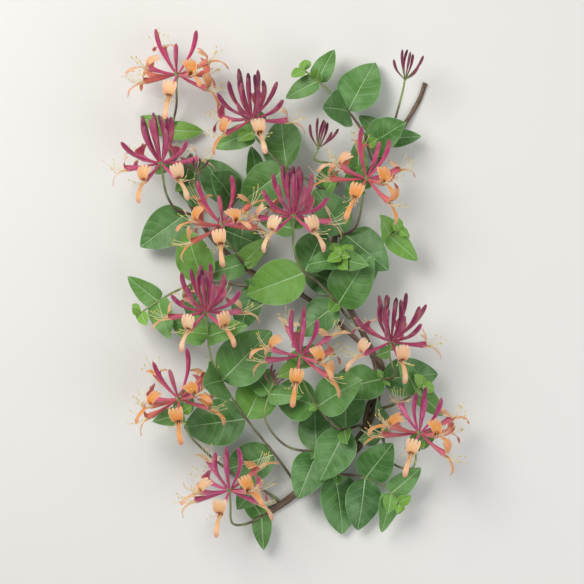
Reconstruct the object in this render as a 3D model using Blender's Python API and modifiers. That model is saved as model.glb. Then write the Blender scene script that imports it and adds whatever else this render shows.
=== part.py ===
"""A cut length of honeysuckle vine in flower, lying on a surface.

Metres, +Z up. +Y runs along the vine, from its cut end to its growing tips. The origin is the middle of
the underside of the whole vine. The woody stem, each leafy shoot, each flower head and each bud cluster is
one grown piece and one object.
"""

import math
import random
from collections import namedtuple

import bmesh
import bpy
import numpy as np
from mathutils import Matrix, Vector

MM = 0.001
UP = Vector((0, 0, 1))

# Moves the middle of the whole vine's underside onto the origin
SHIFT = Vector((-8.8, 2.7, 0)) * MM

# How pieces are made, in metres and degrees: points this near are one, edges this sharp stay sharp, and
# faces this nearly level are one
WELD = 0.00001
SHARP_ANGLE, FLAT_ANGLE = 40, 1
UNION_SOLVER = "MANIFOLD"

# Woody stem, in millimetres: a main stem, and a thinner one that forks from it, twines clockwise round it
# as seen from its tip, and leaves it
MAIN_WIDTHS = (6.6, 3.8)
MAIN_ROUTE = (
    (-22, -204, 1.9),
    (0, -192, 1.9),
    (22, -174, 6),
    (46, -154, 13),
    (70, -130, 16),
    (84, -100, 16),
    (83, -66, 16),
    (68, -32, 15),
    (50, 4, 14),
    (46, 40, 12),
    (58, 76, 10),
    (82, 110, 8),
    (106, 142, 4),
    (122, 168, 0.9),
    (128, 184, 0.9),
)
TWINER_WIDTHS = (4.8, 3.4)
TWINER_STARTS, TWINER_LEAVES = 0.12, 0.42
TWINER_TURNS, TURN_STEPS = 2, 9
TWINER_SUNK = 0.15
TWINER_CLEARANCE = 0.3
TWINER_END = (
    (22, -8, 12),
    (-8, 6, 13),
    (-38, 22, 11),
    (-66, 50, 9),
    (-88, 88, 6),
    (-101, 128, 0.8),
    (-106, 154, 0.8),
)
STEM_SPACING = 15

# Leafy shoots, in millimetres and degrees
SHOOT_WIDTHS = (2.6, 1.8)
SHOOT_SPACING = 20
STUB_LENGTH = 5
APPROACH = 9
SEAT_GAP = 0.35
FIRST_PAIR, LAST_PAIR = 0.25, 0.86
LEAF_WIDTH_SHARE = 0.72
LEAF_THICKNESS = 0.8
LEAF_FOLD = 0.16
LEAF_ARCH = 0.18
LEAF_WAVE = 0.03
LEAF_LEAN = 20
LEAF_ROOT_OUT = 0.6
LEAF_ROWS = (0, 0.22, 0.6, 1)
PAIR_TURN = 35
LAST_PAIR_SIZE = 0.72

# Flowers, in millimetres and degrees
CORE_RADIUS = 4
ROOT_DEPTH, ROOT_SLOPE = 0.65, 30
BUD_LENGTH, BUD_BEND, BUD_ELBOW = 43, 38, 0.6
BUD_HALF_WIDTHS = (0.7, 1.3, 2)
TUBE_LENGTH, TUBE_BEND = 25, 16
TUBE_HALF_WIDTHS, MOUTH_NARROWING = (0.7, 1.8), 0.8
UPPER_LIP_LENGTH, UPPER_LIP_BEND, UPPER_LIP_ELBOW = 17, 118, 0.24
UPPER_LIP_WIDTHS = (9.5, 12.5)
LOWER_LIP_LENGTH, LOWER_LIP_BEND = 24, -66
LOWER_LIP_WIDTHS = (3.8, 4.8)
PETAL_THICKNESS = 0.8

# Each whorl of a head at each stage: the kind, how many, and their slope from the head's axis
STAGES = {
    "young": (("bud", 4, 12), ("bud", 6, 34), ("bud", 5, 60), ("open", 5, 104)),
    "fresh": (("bud", 4, 12), ("bud", 6, 36), ("bud", 3, 62), ("open", 6, 106)),
    "full": (("bud", 4, 22), ("open", 4, 74), ("open", 5, 112)),
    "late": (("bud", 3, 34), ("open", 4, 76), ("open", 5, 114)),
    "tight": (("bud", 3, 14), ("bud", 4, 48)),
}

# What each piece looks like from afar: its colour in linear light, and its roughness
LOOKS = {
    "bark": ((0.15, 0.11, 0.08), 0.85),
    "leaf": ((0.10, 0.26, 0.09), 0.5),
    "young": ((0.30, 0.03, 0.12), 0.45),
    "fresh": ((0.45, 0.07, 0.16), 0.45),
    "full": ((0.70, 0.28, 0.16), 0.5),
    "late": ((0.75, 0.36, 0.14), 0.5),
    "tight": ((0.24, 0.10, 0.12), 0.45),
}

Bloom = namedtuple("Bloom", "stage size place lean lift")
Leaf = namedtuple("Leaf", "root ahead across normal length clasps phase")
Flower = namedtuple("Flower", "size tube upper lower")
Shoot = namedtuple("Shoot", "name stem share route pairs leaf bloom")
SHOOTS = (
    Shoot("a", "main", 0.10, ((-4, -150, 16), (-36, -108, 32), (-60, -66, 48)), 4, 52,
          Bloom("fresh", 1, (-66, -20, 62), -4, 30)),
    Shoot("b", "main", 0.50, ((38, 0, 28), (14, 22, 44)), 3, 48,
          Bloom("fresh", 1, (10, 64, 62), 0, 28)),
    Shoot("c", "main", 0.66, ((66, 56, 34),), 2, 46, Bloom("late", 1, (74, 96, 56), 14, 26)),
    Shoot("d", "twiner", 0.66, ((-42, 34, 34),), 1, 44, Bloom("late", 1, (-52, 56, 50), -10, 24)),
    Shoot("e", "main", 0.27, ((48, -122, 34), (24, -92, 52)), 3, 50,
          Bloom("full", 1, (16, -58, 64), 6, 30)),
    Shoot("f", "main", 0.37, ((98, -78, 40),), 2, 48, Bloom("young", 1, (95, -46, 58), 6, 30)),
    Shoot("g", "main", 0.72, ((30, 92, 26), (-4, 112, 40)), 3, 48,
          Bloom("young", 1, (-26, 148, 54), -4, 30)),
    Shoot("h", "twiner", 0.80, ((-98, 74, 30),), 2, 44, Bloom("fresh", 1, (-106, 110, 48), -8, 26)),
    Shoot("i", "main", 0.30, ((94, -150, 22), (114, -158, 34)), 2, 46,
          Bloom("full", 1, (120, -126, 48), 10, 28)),
    Shoot("j", "main", 0.02, ((-30, -208, 16), (-44, -206, 32)), 1, 40,
          Bloom("full", 1, (-46, -176, 46), -4, 28)),
    Shoot("k", "twiner", 0.97, ((-92, 168, 24),), 1, 40, Bloom("late", 1, (-92, 188, 42), 4, 26)),
    Shoot("l", "main", 0.05, ((-48, -160, 22), (-80, -130, 36)), 2, 48,
          Bloom("late", 1, (-90, -96, 50), -14, 28)),
    Shoot("m", "main", 0.20, ((10, -142, 20), (-14, -118, 34)), 2, 42,
          Bloom("tight", 0.42, (-8, -84, 44), 20, 40)),
    Shoot("n", "main", 0.78, ((56, 108, 26),), 1, 38, Bloom("tight", 0.6, (32, 124, 40), 16, 20)),
    Shoot("o", "twiner", 0.86, ((-82, 96, 24),), 1, 38, Bloom("tight", 0.4, (-76, 102, 38), 10, 50)),
    Shoot("p", "main", 0.86, ((100, 150, 26),), 1, 40, Bloom("tight", 0.6, (108, 184, 40), 10, 30)),
    Shoot("q", "main", 0.82, ((70, 142, 22), (44, 172, 30), (18, 194, 32)), 3, 46, None),
    Shoot("r", "main", 0.56, ((46, 22, 30), (52, 30, 46)), 2, 46, None),
    Shoot("s", "main", 0.60, ((84, 40, 26), (104, 52, 34)), 2, 46, None),
    Shoot("t", "main", 0.32, ((108, -98, 26), (124, -84, 36)), 2, 46, None),
    Shoot("u", "main", 0.17, ((84, -170, 18), (104, -190, 26)), 3, 46, None),
    Shoot("v", "twiner", 0.59, ((-70, 6, 22), (-104, -8, 30), (-126, -22, 34)), 3, 48, None),
    Shoot("w", "twiner", 0.74, ((-36, 84, 22), (-10, 96, 26)), 3, 44, None),
)

# How far a leaf or a flower keeps from all else, in millimetres, and how it turns, leans or stays small
# where it can't
LEAF_TURNS = (0, 12, -12, 24, -24, 38, -38, 52, -52, 68, -68, 84, -84, 100, -100)
LEAF_SIZES = (1.08, 0.92, 0.78, 0.65)
FLOWER_TURNS = (0, 12, -12, 24, -24, 36, -36)
FLOWER_TILTS = (0, 12, -12, 24)
ROOM_GAP = 0.5
FLOOR_GAP = 1.2
LEAF_ROOT_REACH, FLOWER_ROOT_REACH = 12, 14
LEAF_BALL = 1.3
BUD_BALLS = (1, 1.1, 1.7, 2.3, 2.2)
TUBE_BALL, UPPER_LIP_BALL, LOWER_LIP_BALL = 1.8, 1.5, 1.9
CLOSE_SPACING = 3


def in_metres(points):
    return [Vector(point) * MM + SHIFT for point in points]


def smooth_route(points, spacing):
    """Points evenly along a smooth curve through the given ones, about `spacing` millimetres apart."""
    ends = [2 * points[0] - points[1], *points, 2 * points[-1] - points[-2]]
    fine = []
    for a, b, c, d in zip(ends, ends[1:], ends[2:], ends[3:]):
        for t in (step / 12 for step in range(12)):
            cubic = (2 * a - 5 * b + 4 * c - d) * t**2 + (3 * b - a - 3 * c + d) * t**3
            fine.append((2 * b + (c - a) * t + cubic) / 2)
    fine = np.array([*fine, points[-1]])
    run = np.concatenate([[0], np.cumsum(np.linalg.norm(np.diff(fine, axis=0), axis=1))])
    even = np.linspace(0, run[-1], max(2, round(run[-1] / (spacing * MM))) + 1)
    found = np.stack([np.interp(even, run, fine[:, k]) for k in range(3)], axis=1)
    return [Vector(point) for point in found]


def along(route, share):
    """The point and the direction at a share of the way along a route."""
    place = share * (len(route) - 1)
    step = min(int(place), len(route) - 2)
    ahead = route[min(step + 2, len(route) - 1)] - route[max(step - 1, 0)]
    return route[step].lerp(route[step + 1], place - step), ahead.normalized()


def square_to(direction, toward):
    """The unit vector square to a direction that points most nearly toward another."""
    return (toward - direction * toward.dot(direction)).normalized()


def radius_at(widths, share):
    """A stem's radius in metres at a share of the way along it."""
    return (widths[0] + (widths[1] - widths[0]) * share) / 2 * MM


def twining_route(main):
    """The thinner stem's route: out of the main stem, round it in a helix, and off to the left."""
    apart = ((MAIN_WIDTHS[0] + TWINER_WIDTHS[0]) / 2 + TWINER_CLEARANCE) * MM
    points = []
    steps = TURN_STEPS * TWINER_TURNS
    for step in range(steps + 1):
        centre, ahead = along(main, TWINER_STARTS + (TWINER_LEAVES - TWINER_STARTS) * step / steps)
        side = square_to(ahead, UP)
        angle = -2 * math.pi * TWINER_TURNS * step / steps
        out = side * math.cos(angle) + ahead.cross(side) * math.sin(angle)
        points.append(centre + out * apart * min(1, TWINER_SUNK + step / 2))
    return smooth_route(points + in_metres(TWINER_END), STEM_SPACING)


class Room:
    """The space taken so far, as small balls that each know their owner."""

    def __init__(self):
        self.centres, self.radii, self.owners = np.empty((0, 3)), np.empty(0), np.empty(0)

    def take(self, balls, owner):
        self.centres = np.concatenate([self.centres, [centre[:] for centre, _ in balls]])
        self.radii = np.concatenate([self.radii, [radius for _, radius in balls]])
        self.owners = np.concatenate([self.owners, [owner] * len(balls)])

    def is_clear(self, balls, owner, root, root_reach):
        """Whether this owner's balls miss the floor, the others' balls and its own away from the root."""
        centres = np.array([centre[:] for centre, _ in balls])
        radii = np.array([radius for _, radius in balls])
        if (centres[:, 2] < radii + FLOOR_GAP * MM).any():
            return False
        middle = centres.mean(axis=0)
        reach = np.linalg.norm(centres - middle, axis=1).max() + 2 * max(radii.max(), self.radii.max())
        close = np.linalg.norm(self.centres - middle, axis=1) < reach
        apart = np.linalg.norm(self.centres[close] - centres[:, None], axis=2)
        gaps = apart - self.radii[close] - radii[:, None]
        near_root = np.linalg.norm(centres - np.array(root), axis=1) < root_reach * MM
        gaps[near_root[:, None] & (self.owners[close] == owner)] = 1
        return gaps.min(initial=1) >= ROOM_GAP * MM


def bend(root, ahead, toward, length, degrees, steps, elbow=None):
    """Points, headings and inner normals along an arc that turns from ahead toward a side, in all by
    degrees. With an elbow, most of the turn is near that share of its length."""
    inner = square_to(ahead, toward)
    found, point = [], root
    for step in range(steps + 1):
        share = step / steps
        turned = share if elbow is None else min(max((share - elbow) / 0.45 + 0.5, 0), 1)
        angle = math.radians(degrees) * turned
        heading = ahead * math.cos(angle) + inner * math.sin(angle)
        if step:
            point = point + (heading + found[-1][1]).normalized() * length * MM / steps
        found.append((point, heading, inner * math.cos(angle) - ahead * math.sin(angle)))
    return found


def leaf_half_width(leaf, share):
    """Half the blade's width at a share of its length. A leaf that clasps is broad at its root."""
    eased = share**0.75
    outline = (4 * eased * (1 - eased)) ** 0.8
    if leaf.clasps:
        outline = 0.7 * outline + 0.4 * (1 - share) ** 3
    return outline * leaf.length * LEAF_WIDTH_SHARE / 2


def leaf_point(leaf, share, side):
    """A point of the blade's middle surface: share runs from root to tip, side from -1 to 1 across."""
    half = leaf_half_width(leaf, share)
    lift = LEAF_FOLD * abs(side) * half - LEAF_ARCH * leaf.length * share**2
    lift += LEAF_WAVE * leaf.length * side * math.sin(5 * share + leaf.phase)
    return leaf.root + leaf.ahead * leaf.length * share + leaf.across * half * side + leaf.normal * lift


def leaf_balls(leaf):
    spots = ((0.07 + 0.091 * row, side / 4.4) for row in range(11) for side in range(-4, 5))
    return [(leaf_point(leaf, share, side), LEAF_BALL * MM) for share, side in spots]


def turned_leaf(route, share, turn, hand, length, clasps, rng):
    """One leaf of a pair on a shoot, turned about it by degrees. Hand is 1 or -1 for its side."""
    root, ahead = along(route, share)
    out = Matrix.Rotation(math.radians(turn), 3, ahead) @ ahead.cross(square_to(ahead, UP)) * hand
    lean = math.radians(LEAF_LEAN + rng.uniform(-8, 8))
    blade = (out * math.cos(lean) + ahead * math.sin(lean)).normalized()
    sway = Vector((rng.uniform(-0.3, 0.3), rng.uniform(-0.3, 0.3), 0))
    normal = square_to(blade, UP + ahead * 0.25 + sway)
    root = root + out * (0 if clasps else LEAF_ROOT_OUT * MM)
    return Leaf(root, blade, normal.cross(blade), normal, length * MM, clasps, rng.uniform(0, 6))


def grow_leaf(shoot, route, room, pair, hand):
    """A leaf that meets nothing: where it would, it turns, or stays small, or is lost."""
    owner = f"leafy_shoot_{shoot.name}"
    last = pair == shoot.pairs - 1
    share = FIRST_PAIR + (LAST_PAIR - FIRST_PAIR) * pair / max(shoot.pairs - 1, 1)
    rng = random.Random(f"{owner} {pair} {hand}")
    length = shoot.leaf * (LAST_PAIR_SIZE if last else 1) * rng.uniform(0.9, 1.1)
    start = PAIR_TURN * (pair % 2) * rng.choice((1, -1)) + rng.uniform(-10, 10)
    seed = rng.random()
    for size, turn in ((size, turn) for size in LEAF_SIZES for turn in LEAF_TURNS):
        rng = random.Random(seed)
        leaf = turned_leaf(route, share, start + turn, hand, length * size, last, rng)
        if room.is_clear(leaf_balls(leaf), owner, leaf.root, LEAF_ROOT_REACH):
            room.take(leaf_balls(leaf), owner)
            return leaf
    return None


def sloping_flower(kind, core, axis, slope, round_angle, size, rng):
    """A bud or an open flower that slopes from a head's axis: arcs for its tube and its two lips."""
    out = Matrix.Rotation(math.radians(round_angle), 3, axis) @ square_to(axis, UP)
    ahead = axis * math.cos(math.radians(slope)) + out * math.sin(math.radians(slope))
    root_slope = math.radians(ROOT_SLOPE + 0.6 * slope)
    root_out = ROOT_DEPTH * CORE_RADIUS * size * MM
    root = core + (axis * math.cos(root_slope) + out * math.sin(root_slope)) * root_out
    if kind == "bud":
        length = BUD_LENGTH * size * rng.uniform(0.88, 1.06)
        degrees = min(BUD_BEND, slope + 12) * rng.uniform(0.7, 1)
        return Flower(size, bend(root, ahead, axis, length, degrees, 4, BUD_ELBOW), None, None)
    tube = bend(root, ahead, axis, TUBE_LENGTH * size * rng.uniform(0.94, 1.06), TUBE_BEND, 3)
    mouth, heading, inner = tube[-1]
    degrees = UPPER_LIP_BEND * rng.uniform(0.8, 1.12)
    upper = bend(mouth, heading, inner, UPPER_LIP_LENGTH * size, degrees, 4, UPPER_LIP_ELBOW)
    start = mouth - inner * TUBE_HALF_WIDTHS[1] / 2 * MM
    degrees = LOWER_LIP_BEND * rng.uniform(0.8, 1.3)
    lower = bend(start, heading, inner, LOWER_LIP_LENGTH * size, degrees, 4)
    return Flower(size, tube, upper, lower)


def balls_along(arc, radii):
    """Balls on an arc's steps and between each two, but for the one at its root."""
    balls = [(point, radius * MM) for (point, _, _), radius in zip(arc, radii)]
    between = [(a.lerp(b, 0.5), (r + s) / 2) for (a, r), (b, s) in zip(balls, balls[1:])]
    return balls[1:] + between


def flower_balls(flower):
    if not flower.upper:
        return balls_along(flower.tube, [radius * flower.size for radius in BUD_BALLS])
    balls = balls_along(flower.tube, [TUBE_BALL] * 4) + balls_along(flower.lower, [LOWER_LIP_BALL] * 5)
    for point, heading, inner in flower.upper[1:]:
        side = heading.cross(inner) * UPPER_LIP_WIDTHS[0] / 2 * MM * flower.size
        balls += [(point + side * k, UPPER_LIP_BALL * MM) for k in (-0.85, 0, 0.85)]
    return balls


def grow_flower(shoot, room, whorl, spot):
    """A flower that meets nothing: where it would, it turns or leans, or is lost."""
    bloom = shoot.bloom
    owner = f"bloom_{shoot.name}"
    kind, count, slope = STAGES[bloom.stage][whorl]
    core, axis = seat_of(bloom)
    rng = random.Random(f"{owner} {whorl} {spot}")
    first = 360 * spot / count + whorl * 30 + rng.uniform(-9, 9)
    slope += rng.uniform(-7, 7)
    seed = rng.random()
    for tilt, turn in ((tilt, turn) for tilt in FLOWER_TILTS for turn in FLOWER_TURNS):
        rng = random.Random(seed)
        flower = sloping_flower(kind, core, axis, slope + tilt, first + turn, bloom.size, rng)
        if room.is_clear(flower_balls(flower), owner, core, FLOWER_ROOT_REACH):
            room.take(flower_balls(flower), owner)
            return flower
    return None


def seat_of(bloom):
    """The middle of a head's core, and the head's axis."""
    lean, lift = math.radians(bloom.lean), math.radians(bloom.lift)
    axis = Vector((math.sin(lean) * math.cos(lift), math.cos(lean) * math.cos(lift), math.sin(lift)))
    return in_metres([bloom.place])[0], axis


def core_radius(bloom):
    return CORE_RADIUS * max(bloom.size, 0.6) * MM


def shoot_route(shoot, stems):
    """A shoot's route, from just clear of the woody stem to just clear of what it bears."""
    stem, widths = stems[shoot.stem]
    foot, stem_ahead = along(stem, shoot.share)
    points = in_metres(shoot.route)
    out = square_to(stem_ahead, points[0] - foot)
    start = foot + out * (radius_at(widths, shoot.share) + SEAT_GAP * MM)
    points = [start + out * STUB_LENGTH * MM, *points]
    ends = []
    if shoot.bloom:
        core, axis = seat_of(shoot.bloom)
        ends = [core - axis * (core_radius(shoot.bloom) + SEAT_GAP * MM)]
        points.append(ends[0] - axis * APPROACH * MM)
    return [start, *smooth_route(points, SHOOT_SPACING), *ends]


def lay_out():
    """The whole vine: the woody stems' routes and widths, and each shoot's route, leaves and flowers."""
    main = smooth_route(in_metres(MAIN_ROUTE), STEM_SPACING)
    stems = {"main": (main, MAIN_WIDTHS), "twiner": (twining_route(main), TWINER_WIDTHS)}
    routes = {shoot.name: shoot_route(shoot, stems) for shoot in SHOOTS}
    room = Room()
    for route, widths in stems.values():
        close = smooth_route(route, CLOSE_SPACING)
        balls = [(point, radius_at(widths, k / len(close))) for k, point in enumerate(close)]
        room.take(balls, "woody_stem")
    for shoot in SHOOTS:
        close = smooth_route(routes[shoot.name], CLOSE_SPACING)
        room.take([(point, SHOOT_WIDTHS[0] / 2 * MM) for point in close], f"leafy_shoot_{shoot.name}")
        if shoot.bloom:
            room.take([(seat_of(shoot.bloom)[0], core_radius(shoot.bloom))], f"bloom_{shoot.name}")
    flowers, leaves = {}, {}
    for shoot in (shoot for shoot in SHOOTS if shoot.bloom):
        whorls = enumerate(STAGES[shoot.bloom.stage])
        spots = ((whorl, spot) for whorl, (_, count, _) in whorls for spot in range(count))
        grown = [grow_flower(shoot, room, whorl, spot) for whorl, spot in spots]
        flowers[shoot.name] = list(filter(None, grown))
    for shoot in SHOOTS:
        spots = ((pair, hand) for pair in range(shoot.pairs) for hand in (1, -1))
        grown = [grow_leaf(shoot, routes[shoot.name], room, pair, hand) for pair, hand in spots]
        leaves[shoot.name] = list(filter(None, grown))
    return stems, routes, leaves, flowers


def stem_mesh(route, widths, sides_step):
    """A closed tube along a route that thins from its first width to its second, in millimetres."""
    curve = bpy.data.curves.new("stem", "CURVE")
    curve.dimensions = "3D"
    curve.bevel_depth = widths[0] / 2 * MM
    curve.bevel_resolution = sides_step
    curve.use_fill_caps = True
    spline = curve.splines.new("POLY")
    spline.points.add(len(route) - 1)
    for k, point in enumerate(route):
        spline.points[k].co = (*point, 1)
        spline.points[k].radius = 1 + (widths[1] / widths[0] - 1) * k / (len(route) - 1)
    tube = bpy.data.objects.new("stem", curve)
    bpy.context.scene.collection.objects.link(tube)
    graph = bpy.context.evaluated_depsgraph_get()
    mesh = bpy.data.meshes.new_from_object(tube.evaluated_get(graph))
    bpy.data.objects.remove(tube)
    form = bmesh.new()
    form.from_mesh(mesh)
    bmesh.ops.remove_doubles(form, verts=form.verts, dist=WELD)
    return closed_mesh(form, "stem")


def leaf_object(leaf):
    """A leaf's blade: a grid drawn out into its shape, triangulated and thickened on both faces."""
    form = bmesh.new()
    steps = len(LEAF_ROWS) - 1
    bmesh.ops.create_grid(form, x_segments=2, y_segments=steps, size=1)
    for vert in form.verts:
        share = LEAF_ROWS[round((vert.co.y + 1) / 2 * steps)]
        vert.co = leaf_point(leaf, share, vert.co.x)
    bmesh.ops.remove_doubles(form, verts=form.verts, dist=WELD)
    bmesh.ops.triangulate(form, faces=form.faces)
    mesh = bpy.data.meshes.new("leaf")
    form.to_mesh(mesh)
    form.free()
    blade = bpy.data.objects.new("leaf", mesh)
    thick = blade.modifiers.new("Solidify", "SOLIDIFY")
    thick.thickness = LEAF_THICKNESS * MM
    thick.offset = 0
    return blade


def ring(step, half_width, half_height):
    """A four-sided section at a step of an arc."""
    point, heading, inner = step
    across = heading.cross(inner) * half_width * MM
    rise = inner * half_height * MM
    return [point + across + rise, point - across + rise, point - across - rise, point + across - rise]


def bud_mesh(flower):
    """A slim tube that swells into a club and closes to a tip."""
    form = bmesh.new()
    halves = [half_width * flower.size for half_width in BUD_HALF_WIDTHS]
    rows = [new_row(form, ring(flower.tube[k], half, half)) for k, half in zip((0, 2, 3), halves)]
    skin_between(form, rows)
    form.faces.new(rows[0][::-1])
    tip = form.verts.new(flower.tube[4][0])
    for k in range(4):
        form.faces.new((rows[-1][k - 1], rows[-1][k], tip))
    return closed_mesh(form, "bud")


def open_flower_mesh(flower):
    """A tube that widens to its mouth, where the upper lip curls up from its upper half and the lower
    lip hangs from its lower half. The two lips meet along the mouth's middle line."""
    form = bmesh.new()
    size = flower.size
    root_half, mouth_half = (half_width * size for half_width in TUBE_HALF_WIDTHS)
    root = new_row(form, ring(flower.tube[0], root_half, root_half))
    corners = ring(flower.tube[3], MOUTH_NARROWING * mouth_half, mouth_half)
    top_right, top_left, low_left, low_right = new_row(form, corners)
    right, left = new_row(form, ring(flower.tube[3], mouth_half, 0)[:2])
    form.faces.new(root)
    form.faces.new((root[0], root[1], top_left, top_right))
    form.faces.new((root[1], root[2], low_left, left, top_left))
    form.faces.new((root[2], root[3], low_right, low_left))
    form.faces.new((root[3], root[0], top_right, right, low_right))
    lips = (
        ([top_right, top_left, left, right], flower.upper, UPPER_LIP_WIDTHS),
        ([right, left, low_left, low_right], flower.lower, LOWER_LIP_WIDTHS),
    )
    for mouth, arc, widths in lips:
        lip = [mouth]
        for k, width in zip((2, 4), widths):
            lip.append(new_row(form, ring(arc[k], width / 2 * size, PETAL_THICKNESS / 2)))
        skin_between(form, lip)
        form.faces.new(lip[-1])
    return closed_mesh(form, "flower")


def new_row(form, points):
    return [form.verts.new(point) for point in points]


def skin_between(form, rows):
    for low, high in zip(rows, rows[1:]):
        for k in range(len(low)):
            form.faces.new((low[k - 1], low[k], high[k], high[k - 1]))


def closed_mesh(form, name):
    bmesh.ops.triangulate(form, faces=form.faces)
    bmesh.ops.recalc_face_normals(form, faces=form.faces)
    mesh = bpy.data.meshes.new(name)
    form.to_mesh(mesh)
    form.free()
    return mesh


def flower_object(flower):
    return bpy.data.objects.new("flower", open_flower_mesh(flower) if flower.upper else bud_mesh(flower))


def core_object(bloom):
    """The knot of ovaries at a head's heart, which its flowers' roots are sunk in."""
    core, axis = seat_of(bloom)
    form = bmesh.new()
    turned = Matrix.Translation(core) @ axis.to_track_quat("Z", "Y").to_matrix().to_4x4()
    bmesh.ops.create_icosphere(form, subdivisions=1, radius=core_radius(bloom), matrix=turned)
    return bpy.data.objects.new("core", closed_mesh(form, "core"))


def fuse(name, first, others):
    """One closed mesh of a piece and the ones whose roots are sunk in it."""
    scene = bpy.context.scene.collection
    helpers = bpy.data.collections.new("pieces")
    scene.children.link(helpers)
    scene.objects.link(first)
    for other in others:
        helpers.objects.link(other)
    union = first.modifiers.new("Union", "BOOLEAN")
    union.operation = "UNION"
    union.operand_type = "COLLECTION"
    union.collection = helpers
    union.solver = UNION_SOLVER
    graph = bpy.context.evaluated_depsgraph_get()
    form = bmesh.new()
    form.from_mesh(bpy.data.meshes.new_from_object(first.evaluated_get(graph)))
    for piece in [first, *others]:
        bpy.data.objects.remove(piece)
    bpy.data.collections.remove(helpers)
    flat = math.radians(FLAT_ANGLE)
    bmesh.ops.dissolve_limit(form, angle_limit=flat, verts=form.verts, edges=form.edges)
    return closed_mesh(form, name)


def rest_flat(mesh):
    """Flattens what would reach below the surface that the vine lies on."""
    for vert in mesh.vertices:
        vert.co.z = max(vert.co.z, 0)


def make_material(name, colour, roughness):
    material = bpy.data.materials.new(name)
    material.use_nodes = True
    surface = material.node_tree.nodes["Principled BSDF"]
    surface.inputs["Base Color"].default_value = (*colour, 1)
    surface.inputs["Roughness"].default_value = roughness
    surface.inputs["Metallic"].default_value = 0
    return material


def place(name, mesh, material, vine):
    mesh.materials.clear()
    mesh.materials.append(material)
    mesh.shade_smooth()
    mesh.set_sharp_from_angle(angle=math.radians(SHARP_ANGLE))
    vine.objects.link(bpy.data.objects.new(name, mesh))


def main():
    for startup_object in list(bpy.data.objects):
        bpy.data.objects.remove(startup_object)
    vine = bpy.data.collections.new("honeysuckle_vine")
    bpy.context.scene.collection.children.link(vine)
    materials = {name: make_material(name, *look) for name, look in LOOKS.items()}
    stems, routes, leaves, flowers = lay_out()
    meshes = [stem_mesh(route, widths, 1) for route, widths in stems.values()]
    for mesh in meshes:
        rest_flat(mesh)
    main_stem, twiner = (bpy.data.objects.new("stem", mesh) for mesh in meshes)
    place("woody_stem", fuse("woody_stem", main_stem, [twiner]), materials["bark"], vine)
    for shoot in SHOOTS:
        name = f"leafy_shoot_{shoot.name}"
        stem = bpy.data.objects.new("stem", stem_mesh(routes[shoot.name], SHOOT_WIDTHS, 0))
        blades = [leaf_object(leaf) for leaf in leaves[shoot.name]]
        place(name, fuse(name, stem, blades), materials["leaf"], vine)
        if shoot.bloom:
            name = f"bloom_{shoot.name}"
            petals = [flower_object(flower) for flower in flowers[shoot.name]]
            place(name, fuse(name, core_object(shoot.bloom), petals), materials[shoot.bloom.stage], vine)


main()
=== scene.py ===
"""A cut length of honeysuckle vine in flower, lying on a pale floor and seen from above.

The layout comes first, with the same sizes, seeds and order as the solids have, so that each finer piece lies
on its own solid. Then come the finer pieces, their finishes, and the floor, the light and the camera.
"""

import math
import random
from collections import namedtuple

import bpy
import numpy as np
from mathutils import Matrix, Vector


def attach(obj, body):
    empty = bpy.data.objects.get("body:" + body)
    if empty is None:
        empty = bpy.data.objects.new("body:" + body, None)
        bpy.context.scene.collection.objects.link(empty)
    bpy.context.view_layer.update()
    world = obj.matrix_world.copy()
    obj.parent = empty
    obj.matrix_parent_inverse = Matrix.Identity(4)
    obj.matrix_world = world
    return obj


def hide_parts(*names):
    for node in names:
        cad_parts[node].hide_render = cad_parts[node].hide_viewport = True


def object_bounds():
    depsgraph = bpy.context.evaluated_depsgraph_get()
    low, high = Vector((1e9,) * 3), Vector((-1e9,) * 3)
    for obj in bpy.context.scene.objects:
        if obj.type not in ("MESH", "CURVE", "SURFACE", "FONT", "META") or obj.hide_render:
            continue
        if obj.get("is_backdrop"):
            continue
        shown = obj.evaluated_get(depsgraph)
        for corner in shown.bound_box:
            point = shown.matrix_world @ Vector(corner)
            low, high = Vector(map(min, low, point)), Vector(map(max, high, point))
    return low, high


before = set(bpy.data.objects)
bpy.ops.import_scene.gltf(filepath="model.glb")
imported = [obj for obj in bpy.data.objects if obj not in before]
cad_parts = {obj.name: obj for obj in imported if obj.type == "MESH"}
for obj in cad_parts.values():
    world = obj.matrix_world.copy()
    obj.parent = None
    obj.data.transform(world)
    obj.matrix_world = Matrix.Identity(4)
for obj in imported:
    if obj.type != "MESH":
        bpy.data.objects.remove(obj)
solid_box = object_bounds()

MM = 0.001
UP = Vector((0, 0, 1))

# Moves the middle of the whole vine's underside onto the origin
SHIFT = Vector((-8.8, 2.7, 0)) * MM

# Woody stem, in millimetres: a main stem, and a thinner one that forks from it, twines clockwise round it
# as seen from its tip, and leaves it
MAIN_WIDTHS = (6.6, 3.8)
MAIN_ROUTE = (
    (-22, -204, 1.9),
    (0, -192, 1.9),
    (22, -174, 6),
    (46, -154, 13),
    (70, -130, 16),
    (84, -100, 16),
    (83, -66, 16),
    (68, -32, 15),
    (50, 4, 14),
    (46, 40, 12),
    (58, 76, 10),
    (82, 110, 8),
    (106, 142, 4),
    (122, 168, 0.9),
    (128, 184, 0.9),
)
TWINER_WIDTHS = (4.8, 3.4)
TWINER_STARTS, TWINER_LEAVES = 0.12, 0.42
TWINER_TURNS, TURN_STEPS = 2, 9
TWINER_SUNK = 0.15
TWINER_CLEARANCE = 0.3
TWINER_END = (
    (22, -8, 12),
    (-8, 6, 13),
    (-38, 22, 11),
    (-66, 50, 9),
    (-88, 88, 6),
    (-101, 128, 0.8),
    (-106, 154, 0.8),
)
STEM_SPACING = 15

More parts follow.
